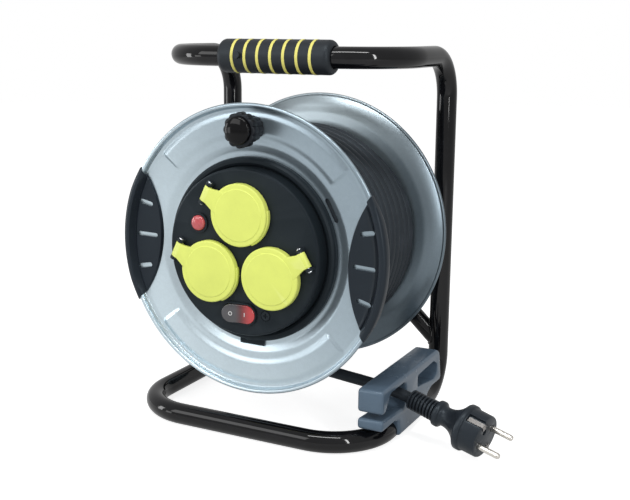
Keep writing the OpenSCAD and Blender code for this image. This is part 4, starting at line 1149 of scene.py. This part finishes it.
class REEL_OT_switch(bpy.types.Operator):
    """Shape the rocker with its marks, and the reset button"""
    bl_idname = "reel.switch"
    bl_label = "Switch and button"

    def execute(self, context):
        place = DRUM @ Matrix.Translation((*SWITCH_AT, FACE_W - 2)) @ turn(6, "Y")
        length, height, valley = 29.2, 15.2, 4.6
        body = prism(slot_outline(length, height, sides=24), -3, 8)
        rocker = piece_of("rocker_moulding", *body, place)
        half = length / 2 + 1
        top = [(-half, valley + 1.8), (0, valley), (half, valley + 1.8), (half, 20), (-half, 20)]
        cutter = place @ turn(90, "X")
        carve(rocker, [piece_of("dish_tool", *prism(top, -height, height), cutter)])
        soften(rocker, 0.6, 3, 40)
        fit(rocker, "rocker", "rocker_red", "rocker")

        ring = [(1.15, 0), (1.75, 0), (1.75, 0.35), (1.15, 0.35)]
        verts, faces = lathe(ring, 32)
        slope = 1.8 / half
        mark_o = [(x - 7.0, y, z + valley + 7.0 * slope - 0.1) for x, y, z in verts]
        bar = rounded([(5.2, -1.7), (5.8, -1.7), (5.8, 1.7), (5.2, 1.7)], [0.25] * 4, 3)
        face = valley + 5.5 * slope
        mark_i = prism(bar, face - 0.1, face + 0.3)
        marks = piece_of("rocker_marks", *joined((mark_o, faces), mark_i), place)
        fit(marks, "rocker", "rocker_red", look="mark_white")

        place = DRUM @ Matrix.Translation((*BUTTON_AT, FACE_W - 0.5))
        r = 6.25
        shape = [(0, 0), (r, 0), (r, 2.7), (r - 0.15, 3.1)]
        shape += arc(0.96 * r, 1.9, 0.12, math.pi / 2 - 0.04, 9, (0, 3.1)) + [(0, 5.0)]
        button = piece_of("reset_button_dome", *lathe(shape, 48), place, 30)
        fit(button, "reset_button", "button_red", "reset_button")
        return {"FINISHED"}


class REEL_OT_knob(bpy.types.Operator):
    """Mould the crank knob and its domed cap"""
    bl_idname = "reel.knob"
    bl_label = "Crank knob"

    def execute(self, context):
        place = DRUM @ Matrix.Translation((KNOB_X, KNOB_Y, 0))
        waves = 12

        def lobes(r, depth, low, high, edge):
            """A prism with waves round it and eased rims."""
            outline = []
            for i in range(waves * 12):
                a = 2 * math.pi * i / (waves * 12)
                wave = r - depth + depth * abs(math.cos(waves * a / 2)) ** 0.7
                outline.append((wave * math.cos(a), wave * math.sin(a)))
            levels = [(1 - edge * 0.9 / r, low), (1, low + edge), (1, high - edge),
                      (1 - edge * 0.35 / r, high - edge * 0.3), (1 - edge * 1.1 / r, high)]
            return skin([[(x * share, y * share, z) for x, y in outline] for share, z in levels])

        collar_r, skirt_r, waist_r = 14.25, 10.25, 9.2
        knob = piece_of("knob_moulding", *lobes(collar_r, 1.5, 13.5, 22.0, 1.1), place, 45)
        waist = lathe([(0, 0), (waist_r, 0), (waist_r, 20), (0, 20)], 48)
        carve(knob, [piece_of("skirt_tool", *lobes(skirt_r, 0.9, -1.5, 12.0, 0.8), place),
                     piece_of("waist_tool", *waist, place)], "UNION", 45)
        carve(knob, [piece_of("bore_tool", *disc(4.05, -4, 19.5, 40), place),
                     piece_of("seat_tool", *disc(11.3, 21.2, 30, 64), place)], sharp=45)
        fit(knob, "crank_knob", "knob_black", "knob")

        r, dome, brim = 11.1, 3.0, 24.6
        shape = [(0, 20.5), (r, 20.5), (r, brim)]
        shape += arc(r, dome, 0.12, math.pi / 2 - 0.04, 12, (0, brim)) + [(0, brim + dome)]
        cap = piece_of("knob_dome", *lathe(shape, 64), place, 30)
        fit(cap, "crank_knob", "cap_black", "knob_cap")
        return {"FINISHED"}


class REEL_OT_carried(bpy.types.Operator):
    """Give every shown CAD node the finish of its slot"""
    bl_idname = "reel.carried"
    bl_label = "Carried parts"

    def execute(self, context):
        slots = {row["node"]: row["material_slot"] for row in frame["record"]["subparts"]}
        for name, node in frame["nodes"].items():
            if node.hide_render:
                continue
            node.data.materials.clear()
            node.data.materials.append(FINISHES[slots[name]])
            smooth(node, 30)
        return {"FINISHED"}


# ------------------------------------------------------------------ stage

class REEL_OT_stage(bpy.types.Operator):
    """Lay the pale floor and set the soft studio light"""
    bl_idname = "reel.stage"
    bl_label = "Stage"

    def execute(self, context):
        scene = context.scene
        studio = scene.studio
        scene.view_settings.view_transform = "Standard"

        floor = piece_of("floor", *disc(4000, -6, -0.2, 96), REEL)
        cloth = Finish("floor_pale")
        lit = cloth.mix(cloth.seen(studio.shine), (0, 0, 0), (1, 1, 1))
        floor.data.materials.append(cloth.set(
            Base_Color=cloth.tone(studio.floor, cloth.noise(0.4, 2), 0.995, 1.005), Roughness=0.9,
            Specular_IOR_Level=0.0, Emission_Color=lit, Emission_Strength=studio.glow))

        sky = Finish(bpy.data.worlds.new("studio"))
        scene.world = sky.set(
            Color=(1, 1, 1), Strength=sky.seen(studio.shine) * (1 - studio.ambient) + studio.ambient)

        middle = REEL @ Vector((0, 60, 170))
        # Name, place, width and height in metres, and power in watts
        lamps = (
            ("key", (-0.75, -1.3, 0.88), (0.9, 0.7), studio.key),
            ("side_strip", (0.95, -0.75, 0.55), (0.06, 0.9), studio.strip * 1.1),
            ("top_strip", (0.1, -0.55, 1.25), (0.9, 0.12), studio.strip * 1.7),
            ("left_strip", (-1.03, -0.48, 0.26), (0.20, 0.46), studio.strip * 0.5),
            ("low_left", (-0.98, -0.93, 0.16), (0.26, 0.26), studio.strip * 0.15),
        )
        for name, at, size, power in lamps:
            lamp = bpy.data.lights.new(name, "AREA")
            lamp.shape = "RECTANGLE"
            lamp.size, lamp.size_y = size
            lamp.energy = power
            holder = bpy.data.objects.new(name, lamp)
            holder.location = Vector(at)
            holder.rotation_mode = "QUATERNION"
            holder.rotation_quaternion = (middle - Vector(at)).to_track_quat("-Z", "Y")
            scene.collection.objects.link(holder)
        return {"FINISHED"}


# ------------------------------------------------------------------ panel and running

class REEL_PT_panel(bpy.types.Panel):
    """Lists the reel's pieces and settings"""
    bl_label = "Cord Reel"
    bl_idname = "REEL_PT_panel"
    bl_space_type = "VIEW_3D"
    bl_region_type = "UI"
    bl_category = "Cord Reel"

    def draw(self, context):
        layout = self.layout
        for group in (context.scene.reel_sizes, context.scene.reel_colours, context.scene.studio):
            box = layout.box()
            for key in group.__annotations__:
                box.prop(group, key)
        for step in STEPS:
            layout.operator(step.bl_idname)


STEPS = (REEL_OT_camera, REEL_OT_cord, REEL_OT_stand, REEL_OT_park, REEL_OT_grip,
         REEL_OT_flanges, REEL_OT_winding, REEL_OT_guards, REEL_OT_lids, REEL_OT_hinge_pins,
         REEL_OT_switch, REEL_OT_knob, REEL_OT_carried, REEL_OT_stage)
GROUPS = {"reel_sizes": ReelSizes, "reel_colours": ReelColours, "studio": StudioSettings}


def register():
    for kind in (*GROUPS.values(), *STEPS, REEL_PT_panel):
        bpy.utils.register_class(kind)
    for name, kind in GROUPS.items():
        setattr(bpy.types.Scene, name, bpy.props.PointerProperty(type=kind))


def unregister():
    for name in GROUPS:
        delattr(bpy.types.Scene, name)
    for kind in reversed((*GROUPS.values(), *STEPS, REEL_PT_panel)):
        bpy.utils.unregister_class(kind)


def main():
    register()
    make_finishes(bpy.context)
    for step in STEPS:
        group, name = step.bl_idname.split(".")
        getattr(getattr(bpy.ops, group), name)()


if __name__ == "__main__":
    main()
